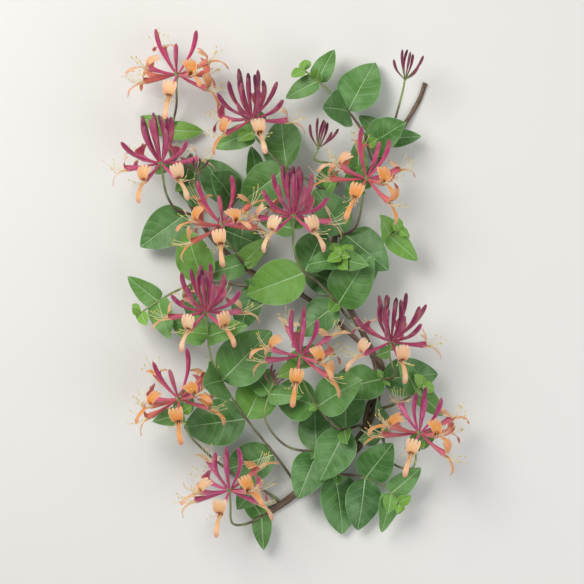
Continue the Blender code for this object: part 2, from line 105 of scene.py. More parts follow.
# Leafy shoots, in millimetres and degrees. A stray is how far either way a size or a turn may be off
SHOOT_WIDTHS = (2.6, 1.8)
SHOOT_SPACING = 20
CURVE_STEPS = 12
STUB_LENGTH = 5
APPROACH = 9
SEAT_GAP = 0.35
FIRST_PAIR, LAST_PAIR = 0.25, 0.86
LEAF_WIDTH_SHARE = 0.72
LEAF_FOLD = 0.16
LEAF_ARCH = 0.18
LEAF_WAVE, LEAF_WAVES = 0.03, 5
LEAF_LEAN, LEAN_STRAY = 20, 8
LEAF_FORWARD, LEAF_SWAY = 0.25, 0.3
LEAF_ROOT_OUT = 0.6
PAIR_TURN, PAIR_STRAY = 35, 10
LAST_PAIR_SIZE = 0.72
LEAF_LENGTHS = (0.9, 1.1)

# Flowers, in millimetres and degrees
CORE_RADIUS, LEAST_CORE = 4, 0.6
ROOT_DEPTH, ROOT_SLOPE, ROOT_SLOPE_GAIN = 0.65, 30, 0.6
BUD_LENGTH, BUD_BEND, BUD_ELBOW, STEEPER_BEND = 43, 38, 0.6, 12
TUBE_LENGTH, TUBE_BEND, MOUTH_HALF_WIDTH = 25, 16, 1.8
ELBOW_SPAN = 0.45
UPPER_LIP_LENGTH, UPPER_LIP_BEND, UPPER_LIP_ELBOW = 17, 118, 0.24
UPPER_LIP_WIDTH = 9.5
LOWER_LIP_LENGTH, LOWER_LIP_BEND = 24, -66
WHORL_TURN, ROUND_STRAY, SLOPE_STRAY = 30, 9, 7

# The least and the most that a flower's sizes and bends are multiplied by
BUD_LENGTHS, TUBE_LENGTHS = (0.88, 1.06), (0.94, 1.06)
BUD_BENDS, UPPER_LIP_BENDS, LOWER_LIP_BENDS = (0.7, 1), (0.8, 1.12), (0.8, 1.3)

# Each whorl of a head at each stage: the kind, how many, and their slope from the head's axis
STAGES = {
    "young": (("bud", 4, 12), ("bud", 6, 34), ("bud", 5, 60), ("open", 5, 104)),
    "fresh": (("bud", 4, 12), ("bud", 6, 36), ("bud", 3, 62), ("open", 6, 106)),
    "full": (("bud", 4, 22), ("open", 4, 74), ("open", 5, 112)),
    "late": (("bud", 3, 34), ("open", 4, 76), ("open", 5, 114)),
    "tight": (("bud", 3, 14), ("bud", 4, 48)),
}

Bloom = namedtuple("Bloom", "stage size place lean lift")
Leaf = namedtuple("Leaf", "root ahead across normal length clasps phase")
Flower = namedtuple("Flower", "size tube upper lower")
Shoot = namedtuple("Shoot", "name stem share route pairs leaf bloom")
SHOOTS = (
    Shoot("a", "main", 0.10, ((-4, -150, 16), (-36, -108, 32), (-60, -66, 48)), 4, 52,
          Bloom("fresh", 1, (-66, -20, 62), -4, 30)),
    Shoot("b", "main", 0.50, ((38, 0, 28), (14, 22, 44)), 3, 48,
          Bloom("fresh", 1, (10, 64, 62), 0, 28)),
    Shoot("c", "main", 0.66, ((66, 56, 34),), 2, 46, Bloom("late", 1, (74, 96, 56), 14, 26)),
    Shoot("d", "twiner", 0.66, ((-42, 34, 34),), 1, 44, Bloom("late", 1, (-52, 56, 50), -10, 24)),
    Shoot("e", "main", 0.27, ((48, -122, 34), (24, -92, 52)), 3, 50,
          Bloom("full", 1, (16, -58, 64), 6, 30)),
    Shoot("f", "main", 0.37, ((98, -78, 40),), 2, 48, Bloom("young", 1, (95, -46, 58), 6, 30)),
    Shoot("g", "main", 0.72, ((30, 92, 26), (-4, 112, 40)), 3, 48,
          Bloom("young", 1, (-26, 148, 54), -4, 30)),
    Shoot("h", "twiner", 0.80, ((-98, 74, 30),), 2, 44, Bloom("fresh", 1, (-106, 110, 48), -8, 26)),
    Shoot("i", "main", 0.30, ((94, -150, 22), (114, -158, 34)), 2, 46,
          Bloom("full", 1, (120, -126, 48), 10, 28)),
    Shoot("j", "main", 0.02, ((-30, -208, 16), (-44, -206, 32)), 1, 40,
          Bloom("full", 1, (-46, -176, 46), -4, 28)),
    Shoot("k", "twiner", 0.97, ((-92, 168, 24),), 1, 40, Bloom("late", 1, (-92, 188, 42), 4, 26)),
    Shoot("l", "main", 0.05, ((-48, -160, 22), (-80, -130, 36)), 2, 48,
          Bloom("late", 1, (-90, -96, 50), -14, 28)),
    Shoot("m", "main", 0.20, ((10, -142, 20), (-14, -118, 34)), 2, 42,
          Bloom("tight", 0.42, (-8, -84, 44), 20, 40)),
    Shoot("n", "main", 0.78, ((56, 108, 26),), 1, 38, Bloom("tight", 0.6, (32, 124, 40), 16, 20)),
    Shoot("o", "twiner", 0.86, ((-82, 96, 24),), 1, 38, Bloom("tight", 0.4, (-76, 102, 38), 10, 50)),
    Shoot("p", "main", 0.86, ((100, 150, 26),), 1, 40, Bloom("tight", 0.6, (108, 184, 40), 10, 30)),
    Shoot("q", "main", 0.82, ((70, 142, 22), (44, 172, 30), (18, 194, 32)), 3, 46, None),
    Shoot("r", "main", 0.56, ((46, 22, 30), (52, 30, 46)), 2, 46, None),
    Shoot("s", "main", 0.60, ((84, 40, 26), (104, 52, 34)), 2, 46, None),
    Shoot("t", "main", 0.32, ((108, -98, 26), (124, -84, 36)), 2, 46, None),
    Shoot("u", "main", 0.17, ((84, -170, 18), (104, -190, 26)), 3, 46, None),
    Shoot("v", "twiner", 0.59, ((-70, 6, 22), (-104, -8, 30), (-126, -22, 34)), 3, 48, None),
    Shoot("w", "twiner", 0.74, ((-36, 84, 22), (-10, 96, 26)), 3, 44, None),
)

# How far a leaf or a flower keeps from all else, in millimetres, and how it turns, leans or stays small
# where it can't
LEAF_TURNS = (0, 12, -12, 24, -24, 38, -38, 52, -52, 68, -68, 84, -84, 100, -100)
LEAF_SIZES = (1.08, 0.92, 0.78, 0.65)
FLOWER_TURNS = (0, 12, -12, 24, -24, 36, -36)
FLOWER_TILTS = (0, 12, -12, 24)
ROOM_GAP = 0.5
FLOOR_GAP = 1.2
LEAF_ROOT_REACH, FLOWER_ROOT_REACH = 12, 14
LEAF_BALL = 1.3
BALL_ROWS, FIRST_BALLS, BALLS_STEP = 11, 0.07, 0.091
BALL_COLUMNS, BALL_SPREAD = 4, 4.4
BUD_BALLS = (1, 1.1, 1.7, 2.3, 2.2)
TUBE_BALL, UPPER_LIP_BALL, LOWER_LIP_BALL = 1.8, 1.5, 1.9
LIP_BALLS_OUT = 0.85
CLOSE_SPACING = 3


def in_metres(points):
    return [Vector(point) * MM + SHIFT for point in points]


def stray(rng, most):
    return rng.uniform(-most, most)


def smooth_route(points, spacing):
    """Points evenly along a smooth curve through the given ones, about `spacing` millimetres apart."""
    ends = [2 * points[0] - points[1], *points, 2 * points[-1] - points[-2]]
    fine = []
    for a, b, c, d in zip(ends, ends[1:], ends[2:], ends[3:]):
        for t in (step / CURVE_STEPS for step in range(CURVE_STEPS)):
            cubic = (2 * a - 5 * b + 4 * c - d) * t**2 + (3 * b - a - 3 * c + d) * t**3
            fine.append((2 * b + (c - a) * t + cubic) / 2)
    fine = np.array([*fine, points[-1]])
    run = np.concatenate([[0], np.cumsum(np.linalg.norm(np.diff(fine, axis=0), axis=1))])
    even = np.linspace(0, run[-1], max(2, round(run[-1] / (spacing * MM))) + 1)
    found = np.stack([np.interp(even, run, fine[:, k]) for k in range(3)], axis=1)
    return [Vector(point) for point in found]


def along(route, share):
    """The point and the direction at a share of the way along a route."""
    place = share * (len(route) - 1)
    step = min(int(place), len(route) - 2)
    ahead = route[min(step + 2, len(route) - 1)] - route[max(step - 1, 0)]
    return route[step].lerp(route[step + 1], place - step), ahead.normalized()


def square_to(direction, toward):
    """The unit vector square to a direction that points most nearly toward another."""
    return (toward - direction * toward.dot(direction)).normalized()


def radius_at(widths, share):
    """A stem's radius in metres at a share of the way along it."""
    return (widths[0] + (widths[1] - widths[0]) * share) / 2 * MM


def twining_route(main):
    """The thinner stem's route: out of the main stem, round it in a helix, and off to the left."""
    apart = ((MAIN_WIDTHS[0] + TWINER_WIDTHS[0]) / 2 + TWINER_CLEARANCE) * MM
    points = []
    steps = TURN_STEPS * TWINER_TURNS
    for step in range(steps + 1):
        centre, ahead = along(main, TWINER_STARTS + (TWINER_LEAVES - TWINER_STARTS) * step / steps)
        side = square_to(ahead, UP)
        angle = -2 * math.pi * TWINER_TURNS * step / steps
        out = side * math.cos(angle) + ahead.cross(side) * math.sin(angle)
        points.append(centre + out * apart * min(1, TWINER_SUNK + step / 2))
    return smooth_route(points + in_metres(TWINER_END), STEM_SPACING)


class Room:
    """The space taken so far, as small balls that each know their owner."""

    def __init__(self):
        self.centres, self.radii, self.owners = np.empty((0, 3)), np.empty(0), np.empty(0)

    def take(self, balls, owner):
        self.centres = np.concatenate([self.centres, [centre[:] for centre, _ in balls]])
        self.radii = np.concatenate([self.radii, [radius for _, radius in balls]])
        self.owners = np.concatenate([self.owners, [owner] * len(balls)])

    def is_clear(self, balls, owner, root, root_reach):
        """Whether this owner's balls miss the floor, the others' balls and its own away from the root."""
        centres = np.array([centre[:] for centre, _ in balls])
        radii = np.array([radius for _, radius in balls])
        if (centres[:, 2] < radii + FLOOR_GAP * MM).any():
            return False
        middle = centres.mean(axis=0)
        reach = np.linalg.norm(centres - middle, axis=1).max() + 2 * max(radii.max(), self.radii.max())
        close = np.linalg.norm(self.centres - middle, axis=1) < reach
        apart = np.linalg.norm(self.centres[close] - centres[:, None], axis=2)
        gaps = apart - self.radii[close] - radii[:, None]
        near_root = np.linalg.norm(centres - np.array(root), axis=1) < root_reach * MM
        gaps[near_root[:, None] & (self.owners[close] == owner)] = 1
        return gaps.min(initial=1) >= ROOM_GAP * MM


def bend(root, ahead, toward, length, degrees, steps, elbow=None):
    """Points, headings and inner normals along an arc that turns from ahead toward a side, in all by
    degrees. With an elbow, most of the turn is near that share of its length."""
    inner = square_to(ahead, toward)
    found, point = [], root
    for step in range(steps + 1):
        share = step / steps
        turned = share if elbow is None else min(max((share - elbow) / ELBOW_SPAN + 0.5, 0), 1)
        angle = math.radians(degrees) * turned
        heading = ahead * math.cos(angle) + inner * math.sin(angle)
        if step:
            point = point + (heading + found[-1][1]).normalized() * length * MM / steps
        found.append((point, heading, inner * math.cos(angle) - ahead * math.sin(angle)))
    return found


def leaf_half_width(leaf, share):
    """Half the blade's width at a share of its length. A leaf that clasps is broad at its root."""
    eased = share**0.75
    outline = (4 * eased * (1 - eased)) ** 0.8
    if leaf.clasps:
        outline = 0.7 * outline + 0.4 * (1 - share) ** 3
    return outline * leaf.length * LEAF_WIDTH_SHARE / 2


def leaf_point(leaf, share, side):
    """A point of the blade's middle surface: share runs from root to tip, side from -1 to 1 across."""
    half = leaf_half_width(leaf, share)
    lift = LEAF_FOLD * abs(side) * half - LEAF_ARCH * leaf.length * share**2
    lift += LEAF_WAVE * leaf.length * side * math.sin(LEAF_WAVES * share + leaf.phase)
    return leaf.root + leaf.ahead * leaf.length * share + leaf.across * half * side + leaf.normal * lift


def leaf_balls(leaf):
    """Balls over the whole blade, in rows that end just short of its edges."""
    shares = [FIRST_BALLS + BALLS_STEP * row for row in range(BALL_ROWS)]
    sides = [column / BALL_SPREAD for column in range(-BALL_COLUMNS, BALL_COLUMNS + 1)]
    return [(leaf_point(leaf, share, side), LEAF_BALL * MM) for share in shares for side in sides]


def turned_leaf(route, share, turn, hand, length, clasps, rng):
    """One leaf of a pair on a shoot, turned about it by degrees. Hand is 1 or -1 for its side."""
    root, ahead = along(route, share)
    out = Matrix.Rotation(math.radians(turn), 3, ahead) @ ahead.cross(square_to(ahead, UP)) * hand
    lean = math.radians(LEAF_LEAN + stray(rng, LEAN_STRAY))
    blade = (out * math.cos(lean) + ahead * math.sin(lean)).normalized()
    sway = Vector((stray(rng, LEAF_SWAY), stray(rng, LEAF_SWAY), 0))
    normal = square_to(blade, UP + ahead * LEAF_FORWARD + sway)
    root = root + out * (0 if clasps else LEAF_ROOT_OUT * MM)
    return Leaf(root, blade, normal.cross(blade), normal, length * MM, clasps, rng.uniform(0, 6))


def pair_share(shoot, pair):
    """How far along its shoot a pair of leaves is."""
    return FIRST_PAIR + (LAST_PAIR - FIRST_PAIR) * pair / max(shoot.pairs - 1, 1)


def grow_leaf(shoot, route, room, pair, hand):
    """A leaf that meets nothing: where it would, it turns, or stays small, or is lost."""
    owner = f"leafy_shoot_{shoot.name}"
    last = pair == shoot.pairs - 1
    share = pair_share(shoot, pair)
    rng = random.Random(f"{owner} {pair} {hand}")
    length = shoot.leaf * (LAST_PAIR_SIZE if last else 1) * rng.uniform(*LEAF_LENGTHS)
    start = PAIR_TURN * (pair % 2) * rng.choice((1, -1)) + stray(rng, PAIR_STRAY)
    seed = rng.random()
    for size, turn in ((size, turn) for size in LEAF_SIZES for turn in LEAF_TURNS):
        rng = random.Random(seed)
        leaf = turned_leaf(route, share, start + turn, hand, length * size, last, rng)
        if room.is_clear(leaf_balls(leaf), owner, leaf.root, LEAF_ROOT_REACH):
            room.take(leaf_balls(leaf), owner)
            return leaf
    return None


def sloping_flower(kind, core, axis, slope, round_angle, size, rng):
    """A bud or an open flower that slopes from a head's axis: arcs for its tube and its two lips."""
    out = Matrix.Rotation(math.radians(round_angle), 3, axis) @ square_to(axis, UP)
    ahead = axis * math.cos(math.radians(slope)) + out * math.sin(math.radians(slope))
    root_slope = math.radians(ROOT_SLOPE + ROOT_SLOPE_GAIN * slope)
    root_out = ROOT_DEPTH * CORE_RADIUS * size * MM
    root = core + (axis * math.cos(root_slope) + out * math.sin(root_slope)) * root_out
    if kind == "bud":
        length = BUD_LENGTH * size * rng.uniform(*BUD_LENGTHS)
        degrees = min(BUD_BEND, slope + STEEPER_BEND) * rng.uniform(*BUD_BENDS)
        return Flower(size, bend(root, ahead, axis, length, degrees, 4, BUD_ELBOW), None, None)
    tube = bend(root, ahead, axis, TUBE_LENGTH * size * rng.uniform(*TUBE_LENGTHS), TUBE_BEND, 3)
    mouth, heading, inner = tube[-1]
    degrees = UPPER_LIP_BEND * rng.uniform(*UPPER_LIP_BENDS)
    upper = bend(mouth, heading, inner, UPPER_LIP_LENGTH * size, degrees, 4, UPPER_LIP_ELBOW)
    start = mouth - inner * MOUTH_HALF_WIDTH / 2 * MM
    degrees = LOWER_LIP_BEND * rng.uniform(*LOWER_LIP_BENDS)
    lower = bend(start, heading, inner, LOWER_LIP_LENGTH * size, degrees, 4)
    return Flower(size, tube, upper, lower)


def balls_along(arc, radii):
    """Balls on an arc's steps and between each two, but for the one at its root."""
    balls = [(point, radius * MM) for (point, _, _), radius in zip(arc, radii)]
    between = [(a.lerp(b, 0.5), (r + s) / 2) for (a, r), (b, s) in zip(balls, balls[1:])]
    return balls[1:] + between


def flower_balls(flower):
    """Balls that fill a bud, or the tube and the lips of an open flower."""
    if not flower.upper:
        return balls_along(flower.tube, [radius * flower.size for radius in BUD_BALLS])
    balls = balls_along(flower.tube, [TUBE_BALL] * 4) + balls_along(flower.lower, [LOWER_LIP_BALL] * 5)
    for point, heading, inner in flower.upper[1:]:
        side = heading.cross(inner) * UPPER_LIP_WIDTH / 2 * MM * flower.size
        places = (-LIP_BALLS_OUT, 0, LIP_BALLS_OUT)
        balls += [(point + side * place, UPPER_LIP_BALL * MM) for place in places]
    return balls


def grow_flower(shoot, room, whorl, spot):
    """A flower that meets nothing: where it would, it turns or leans, or is lost."""
    bloom = shoot.bloom
    owner = f"bloom_{shoot.name}"
    kind, count, slope = STAGES[bloom.stage][whorl]
    core, axis = seat_of(bloom)
    rng = random.Random(f"{owner} {whorl} {spot}")
    first = 360 * spot / count + whorl * WHORL_TURN + stray(rng, ROUND_STRAY)
    slope += stray(rng, SLOPE_STRAY)
    seed = rng.random()
    for tilt, turn in ((tilt, turn) for tilt in FLOWER_TILTS for turn in FLOWER_TURNS):
        rng = random.Random(seed)
        flower = sloping_flower(kind, core, axis, slope + tilt, first + turn, bloom.size, rng)
        if room.is_clear(flower_balls(flower), owner, core, FLOWER_ROOT_REACH):
            room.take(flower_balls(flower), owner)
            return flower
    return None


def seat_of(bloom):
    """The middle of a head's core, and the head's axis."""
    lean, lift = math.radians(bloom.lean), math.radians(bloom.lift)
    axis = Vector((math.sin(lean) * math.cos(lift), math.cos(lean) * math.cos(lift), math.sin(lift)))
    return in_metres([bloom.place])[0], axis


def core_size(bloom):
    """The size of a head's core, which stays stout where the head is small."""
    return max(bloom.size, LEAST_CORE)


def core_radius(bloom):
    return CORE_RADIUS * core_size(bloom) * MM


def shoot_route(shoot, stems):
    """A shoot's route, from just clear of the woody stem to just clear of what it bears."""
    stem, widths = stems[shoot.stem]
    foot, stem_ahead = along(stem, shoot.share)
    points = in_metres(shoot.route)
    out = square_to(stem_ahead, points[0] - foot)
    start = foot + out * (radius_at(widths, shoot.share) + SEAT_GAP * MM)
    points = [start + out * STUB_LENGTH * MM, *points]
    ends = []
    if shoot.bloom:
        core, axis = seat_of(shoot.bloom)
        ends = [core - axis * (core_radius(shoot.bloom) + SEAT_GAP * MM)]
        points.append(ends[0] - axis * APPROACH * MM)
    return [start, *smooth_route(points, SHOOT_SPACING), *ends]


def lay_out():
    """The whole vine: the woody stems' routes and widths, and each shoot's route, leaves and flowers."""
    main = smooth_route(in_metres(MAIN_ROUTE), STEM_SPACING)
    stems = {"main": (main, MAIN_WIDTHS), "twiner": (twining_route(main), TWINER_WIDTHS)}
    routes = {shoot.name: shoot_route(shoot, stems) for shoot in SHOOTS}
    room = Room()
    for route, widths in stems.values():
        close = smooth_route(route, CLOSE_SPACING)
        balls = [(point, radius_at(widths, k / len(close))) for k, point in enumerate(close)]
        room.take(balls, "woody_stem")
    for shoot in SHOOTS:
        close = smooth_route(routes[shoot.name], CLOSE_SPACING)
        room.take([(point, SHOOT_WIDTHS[0] / 2 * MM) for point in close], f"leafy_shoot_{shoot.name}")
        if shoot.bloom:
            room.take([(seat_of(shoot.bloom)[0], core_radius(shoot.bloom))], f"bloom_{shoot.name}")
    flowers, leaves = {}, {}
    for shoot in (shoot for shoot in SHOOTS if shoot.bloom):
        whorls = enumerate(STAGES[shoot.bloom.stage])
        spots = ((whorl, spot) for whorl, (_, count, _) in whorls for spot in range(count))
        grown = [grow_flower(shoot, room, whorl, spot) for whorl, spot in spots]
        flowers[shoot.name] = list(filter(None, grown))
    for shoot in SHOOTS:
        spots = ((pair, hand) for pair in range(shoot.pairs) for hand in (1, -1))
        grown = [grow_leaf(shoot, routes[shoot.name], room, pair, hand) for pair, hand in spots]
        leaves[shoot.name] = list(filter(None, grown))
    return stems, routes, leaves, flowers


# Finer leaves, in millimetres where they are sizes
BLADE_ROWS = 30
BLADE_SIDES = (0, 0.035, 0.09, 0.17, 0.28, 0.41, 0.56, 0.72, 0.87, 1)
BLADE_THICKNESS, MIDRIB_THICKNESS = 0.32, 0.9
MIDRIB_WIDTH, MIDRIB_DEPTH = 0.7, 0.28
VEIN_PAIRS, VEIN_SLANT, VEIN_SWEEP = 6.5, 0.2, 1.3
QUILTING, QUILTED_LENGTH = 0.3, 45
FLAT_BY_EDGE, FLAT_BY_MIDRIB = 3, 2
EDGE_WAVE, EDGE_WAVES = 0.012, 16
ROOT_WIDTH, ROOT_NARROWING, TIP_WIDTH = 1.3, 12, 0.25
ROOT_THINNING, TIP_THINNING = (0.35, 3), (0.3, 4)

# A flowerless shoot's youngest pairs: the length of each, and its share of the way along the shoot
TIP_LEAVES = ((15, 0.985), (9, 1))
TIP_TURN, TIP_YOUTH = 45, 0.9

# Small pairs just past some of the grown ones, kept where they clear the floor
AXIL_SHARE, AXIL_OUT = 0.6, 0.012
AXIL_LENGTHS, AXIL_TURNS, AXIL_YOUTHS = (8, 20), (35, 75), (0.2, 0.8)
CLEARANCE_ABOVE = 0.5

# A leaf's green is lighter the higher it is, up to a height in millimetres, which is painted shade that
# darkens the lower leaves; a stray gives each leaf its own tone, and some leaves are younger
LEAST_TONE, PAINTED_SHADE_GAIN, TONE_STRAY, PAINTED_SHADE_HEIGHT = 0.15, 0.7, 0.2, 60
SMALL_LEAF_TONE = 0.8
YOUNG_SHARE, YOUTH, CLASPING_YOUTH = 0.12, 0.45, 0.25

# Each leaf or flower has its own part of the patterns, and so has each stem
PATTERN_PARTS, BARK_PART, GREEN_PART = 90, 30.0, 7.0

# Finer flowers, in millimetres where they are sizes. A shape is half widths at shares of the length
BUD_SHAPE = (
    (0, 0.8), (0.1, 1.0), (0.3, 1.25), (0.45, 1.5), (0.58, 1.9), (0.7, 2.2), (0.82, 2.25), (0.9, 2.05),
    (0.95, 1.65), (0.98, 1.1), (1, 0.45),
)
BUD_SHARES = (0, 0.1, 0.22, 0.34, 0.44, 0.52, 0.58, 0.64, 0.7, 0.77, 0.84, 0.89, 0.93, 0.96, 0.98, 1)
BUD_SIDES, BUD_FLATNESS = 12, 0.94
GROOVE_DEPTH, GROOVE_TURN, GROOVE_REACH = 0.07, 0.6, 0.4
GROOVE_FADE = ((0, 0), (0.5, 0.2), (0.8, 1), (1, 1))
TUBE_SHAPE = ((0, 0.85), (0.25, 1.2), (0.55, 1.55), (0.8, 2.1), (1, 2.9))
TUBE_ROWS = 9
MOUTH_SIDES, UPPER_SIDES, MOUTH_START = 30, 20, -120
UPPER_ROWS, LOWER_ROWS = 10, 12
UPPER_SHAPE = ((0, 3.4), (0.2, 4.3), (0.45, 5.5), (0.7, 6.2), (0.9, 6.5), (1, 6.4))
LOWER_SHAPE = ((0, 1.7), (0.2, 1.5), (0.5, 1.9), (0.8, 2.5), (0.94, 2.2), (1, 1.1))
UPPER_CUPS, UPPER_CURLS = (-0.35, -0.05), (0.05, 0.35)
LOWER_CUP, LOWER_CURLS, LOWER_FLARE = 0.35, (0.1, 0.3), (-1, 2)
LOBE_SIDES = (0, 0.055, 0.17, 0.33, 0.445, 0.5, 0.555, 0.67, 0.83, 0.93, 1)
LOBE_CUTS = (0.26, 0.06, 0, 0, 0.06, 0.31, 0.09, 0.02, 0.03, 0.11, 0.22)
LOBE_MIDDLES, LOBE_FLARE = (-0.75, -0.25, 0.25, 0.75), (-2.6, 1.4)
TIP_CURL, TIP_SHARE = 2.2, 0.28
PETAL_RIPPLE, PETAL_RIPPLES = 0.3, 11
PETAL_THIN = 0.28
MOUTH_BLEND = 0.4

# How a flower's pattern lies: the tube's and the lips' shares of the run from root to tip, the pattern's
# half width on each part, and its length on a lip, in millimetres
TUBE_SHARE, LIP_SHARE = 0.55, 0.45
BUD_PATTERN, TUBE_PATTERN, UPPER_PATTERN, LOWER_PATTERN, LIP_RUN = 2, 1.6, 6, 2.2, 18

# How far the flowers of a head have aged at each stage, from fresh at 0 to fading at 1
AGES = {"young": 0.25, "fresh": 0.4, "full": 0.6, "late": 0.75, "tight": 0}
AGE_STRAYS = (-0.45, 0.4)

# A bud is darker the more nearly it stands on the head's axis
DARK_FROM, DARK_GAIN, DARK_STRAY = 0.6, 2, 0.2

# Stamens, styles and ovaries, in millimetres and degrees
STAMENS = 5
FILAMENT_STEPS = 7
FILAMENT_FAN, FAN_STRAY = 11, 4
FILAMENT_DIPS, FILAMENT_RISES = (8, 20), (5, 30)
FILAMENT_LENGTHS, STYLE_LONGER = (17, 22), 5
FILAMENT_SUNK, FILAMENT_APART = 3, 2
FILAMENT_LIFT, FILAMENT_SWEEP = 0.8, 2.2
FILAMENT_HALF, STYLE_HALF, THREAD_TIP = 0.24, 0.27, 0.7
ANTHER, ANTHER_STRAY = (0.5, 0.5, 1.35), 0.7
STIGMA = (0.6, 0.6, 0.5)
OVARY, OVARY_SUNK = (1.05, 1.05, 1.5), 0.2
KNOT, KNOT_PARTS, KNOT_START, KNOT_STEP = (2.0, 2.0, 1.6), 3, -1.6, 1.4

# Stems, in millimetres
BARK_SPACING, BARK_SIDES = 1.8, 28
BARK_RIDGES, RIDGE_DEPTH = (5, 7, 9, 11, 13), 0.05
RIDGE_STARTS, RIDGE_DRIFT, RIDGE_WANDER, RIDGE_PACES = (0, 6.3), 0.03, 1.2, (20, 60)
JOINT_SPACING, JOINT_START, JOINT_SWELL, JOINT_REACH = 46, 12, 0.16, 3
GREEN_SPACING, GREEN_SIDES = 2.2, 10
PAIR_SWELL, PAIR_REACH = 0.3, 2
SHARP_ANGLE = 60

# Studio, in metres, watts and millimetres of film. The lens takes in the seen width from that far
FLOOR_HALF, FLOOR_DROP = 8.0, 0.0003
LIGHTS = (
    ("window", (-0.7, 0.7, 1.3), 0.8, 20, (1, 0.98, 0.95)),
    ("fill", (0.9, -0.5, 1.0), 1.0, 7, (0.97, 0.98, 1)),
)
SKY, SKY_STRENGTH = (0.96, 0.97, 1, 1), 0.4
CAMERA_HEIGHT = 2.15
SEEN_WIDTH, SEEN_FROM = 0.51, 2.1
FILM_WIDTH = 36

# Each stage's petals: a bud's root, middle and tip, the lips' outer face, and their inner face fresh and old
PETALS = {
    "young": ("BC4270", "932A59", "4C1836", "CC5884", "E2BA92", "DA9246"),
    "fresh": ("C64878", "AA3466", "662048", "D4648C", "E5C29A", "DC9446"),
    "full": ("D04C88", "BA3678", "7E2456", "DA7498", "E7C49C", "DE9442"),
    "late": ("D04A7A", "C03A72", "862850", "DC7284", "E8C096", "E0903E"),
    "tight": ("7A8A4C", "7C2A4E", "4C1A36", "A04A68", "D9A58A", "D9904E"),
}

Sheet = namedtuple("Sheet", "points quads caps values")
Lip = namedtuple("Lip", "arc turns shape shares sides cup curl flare phase pattern belly")
Thread = namedtuple("Thread", "points half knob aim")


def unit(vectors):
    return vectors / np.linalg.norm(vectors, axis=-1, keepdims=True)


def limited(value):
    """The value, kept from 0 to 1."""
    return np.clip(value, 0, 1)


def spokes(angles, one, other):
    """Directions at angles that run from one direction toward another that is square to it."""
    return np.cos(angles)[..., None] * one + np.sin(angles)[..., None] * other


def quads_of(index, closes=False):
    """The four-sided faces between neighbours of a grid of point numbers."""
    if closes:
        index = np.concatenate([index, index[:, :1]], axis=1)
    corners = (index[:-1, :-1], index[:-1, 1:], index[1:, 1:], index[1:, :-1])
    return np.stack(corners, axis=-1).reshape(-1, 4)


def spread(shape, lay, **given):
    """Values for a grid of points, where a number fills the whole grid. Lay is the place of each point in
    its pattern."""
    values = {name: np.broadcast_to(np.asarray(value, float), shape).copy() for name, value in given.items()}
    values["lay"] = np.stack(np.broadcast_arrays(*lay, np.zeros(shape))[:3], axis=-1)
    return values


def grid_sheet(points, values, closes=False, caps=False):
    """A sheet over a grid of points. Caps close the first and the last row of a tube."""
    rows, columns = points.shape[:2]
    index = np.arange(rows * columns).reshape(rows, columns)
    ends = [index[0][::-1], index[-1]] if caps else []
    flat = {name: value.reshape(rows * columns, *value.shape[2:]) for name, value in values.items()}
    return Sheet(points.reshape(-1, 3), quads_of(index, closes), ends, flat)


def joined(sheets):
    """One sheet of several."""
    starts = np.cumsum([0] + [len(sheet.points) for sheet in sheets[:-1]])
    points = np.concatenate([sheet.points for sheet in sheets])
    quads = np.concatenate([sheet.quads + start for sheet, start in zip(sheets, starts)])
    caps = [cap + start for sheet, start in zip(sheets, starts) for cap in sheet.caps]
    values = {name: np.concatenate([sheet.values[name] for sheet in sheets]) for name in sheets[0].values}
    return Sheet(points, quads, caps, values)


def thickened(sheet, thickness):
    """A sheet with a back face and a rim. Its points gain a value, back: 0 in front and 1 behind."""
    a, b, c, d = (sheet.points[sheet.quads[:, k]] for k in range(4))
    slant = np.cross(c - a, d - b)
    normals = np.zeros_like(sheet.points)
    for k in range(4):
        np.add.at(normals, sheet.quads[:, k], slant)
    count = len(sheet.points)
    behind = sheet.points - unit(normals) * np.reshape(thickness, (-1, 1))
    starts = sheet.quads.ravel()
    ends = np.roll(sheet.quads, -1, axis=1).ravel()
    free = ~np.isin(starts * count + ends, ends * count + starts)
    rim = np.stack([ends[free], starts[free], starts[free] + count, ends[free] + count], axis=1)
    quads = np.concatenate([sheet.quads, sheet.quads[:, ::-1] + count, rim])
    values = {name: np.concatenate([value, value]) for name, value in sheet.values.items()}
    values["back"] = np.repeat([0.0, 1.0], count)
    return Sheet(np.concatenate([sheet.points, behind]), quads, [], values)


def arc_at(arc, shares):
    """The points, inner normals and sides at shares of the way along an arc."""
    knots = np.array([point[:] for point, _, _ in arc])
    knots = np.concatenate([[2 * knots[0] - knots[1]], knots, [2 * knots[-1] - knots[-2]]])
    place = limited(shares) * (len(arc) - 1)
    step = np.minimum(place.astype(int), len(arc) - 2)
    t = (place - step)[..., None]
    a, b, c, d = (knots[step + k] for k in range(4))
    square, cube = 2 * a - 5 * b + 4 * c - d, 3 * b - a - 3 * c + d
    points = (2 * b + (c - a) * t + square * t**2 + cube * t**3) / 2
    heading = unit(c - a + 2 * square * t + 3 * cube * t**2)
    normals = np.array([inner[:] for _, _, inner in arc])
    inner = normals[step] * (1 - t) + normals[step + 1] * t
    inner = unit(inner - heading * (inner * heading).sum(axis=-1, keepdims=True))
    return points, inner, np.cross(heading, inner)


def shape_at(shape, shares):
    """A size at shares of the way along, from pairs of a share and its size."""
    places, sizes = zip(*shape)
    return np.interp(shares, places, sizes)


def vein_phase(along, out):
    """Whole numbers of this lie on the side veins, which leave the midrib and sweep toward the tip."""
    return (along - out**VEIN_SWEEP * VEIN_SLANT) * VEIN_PAIRS


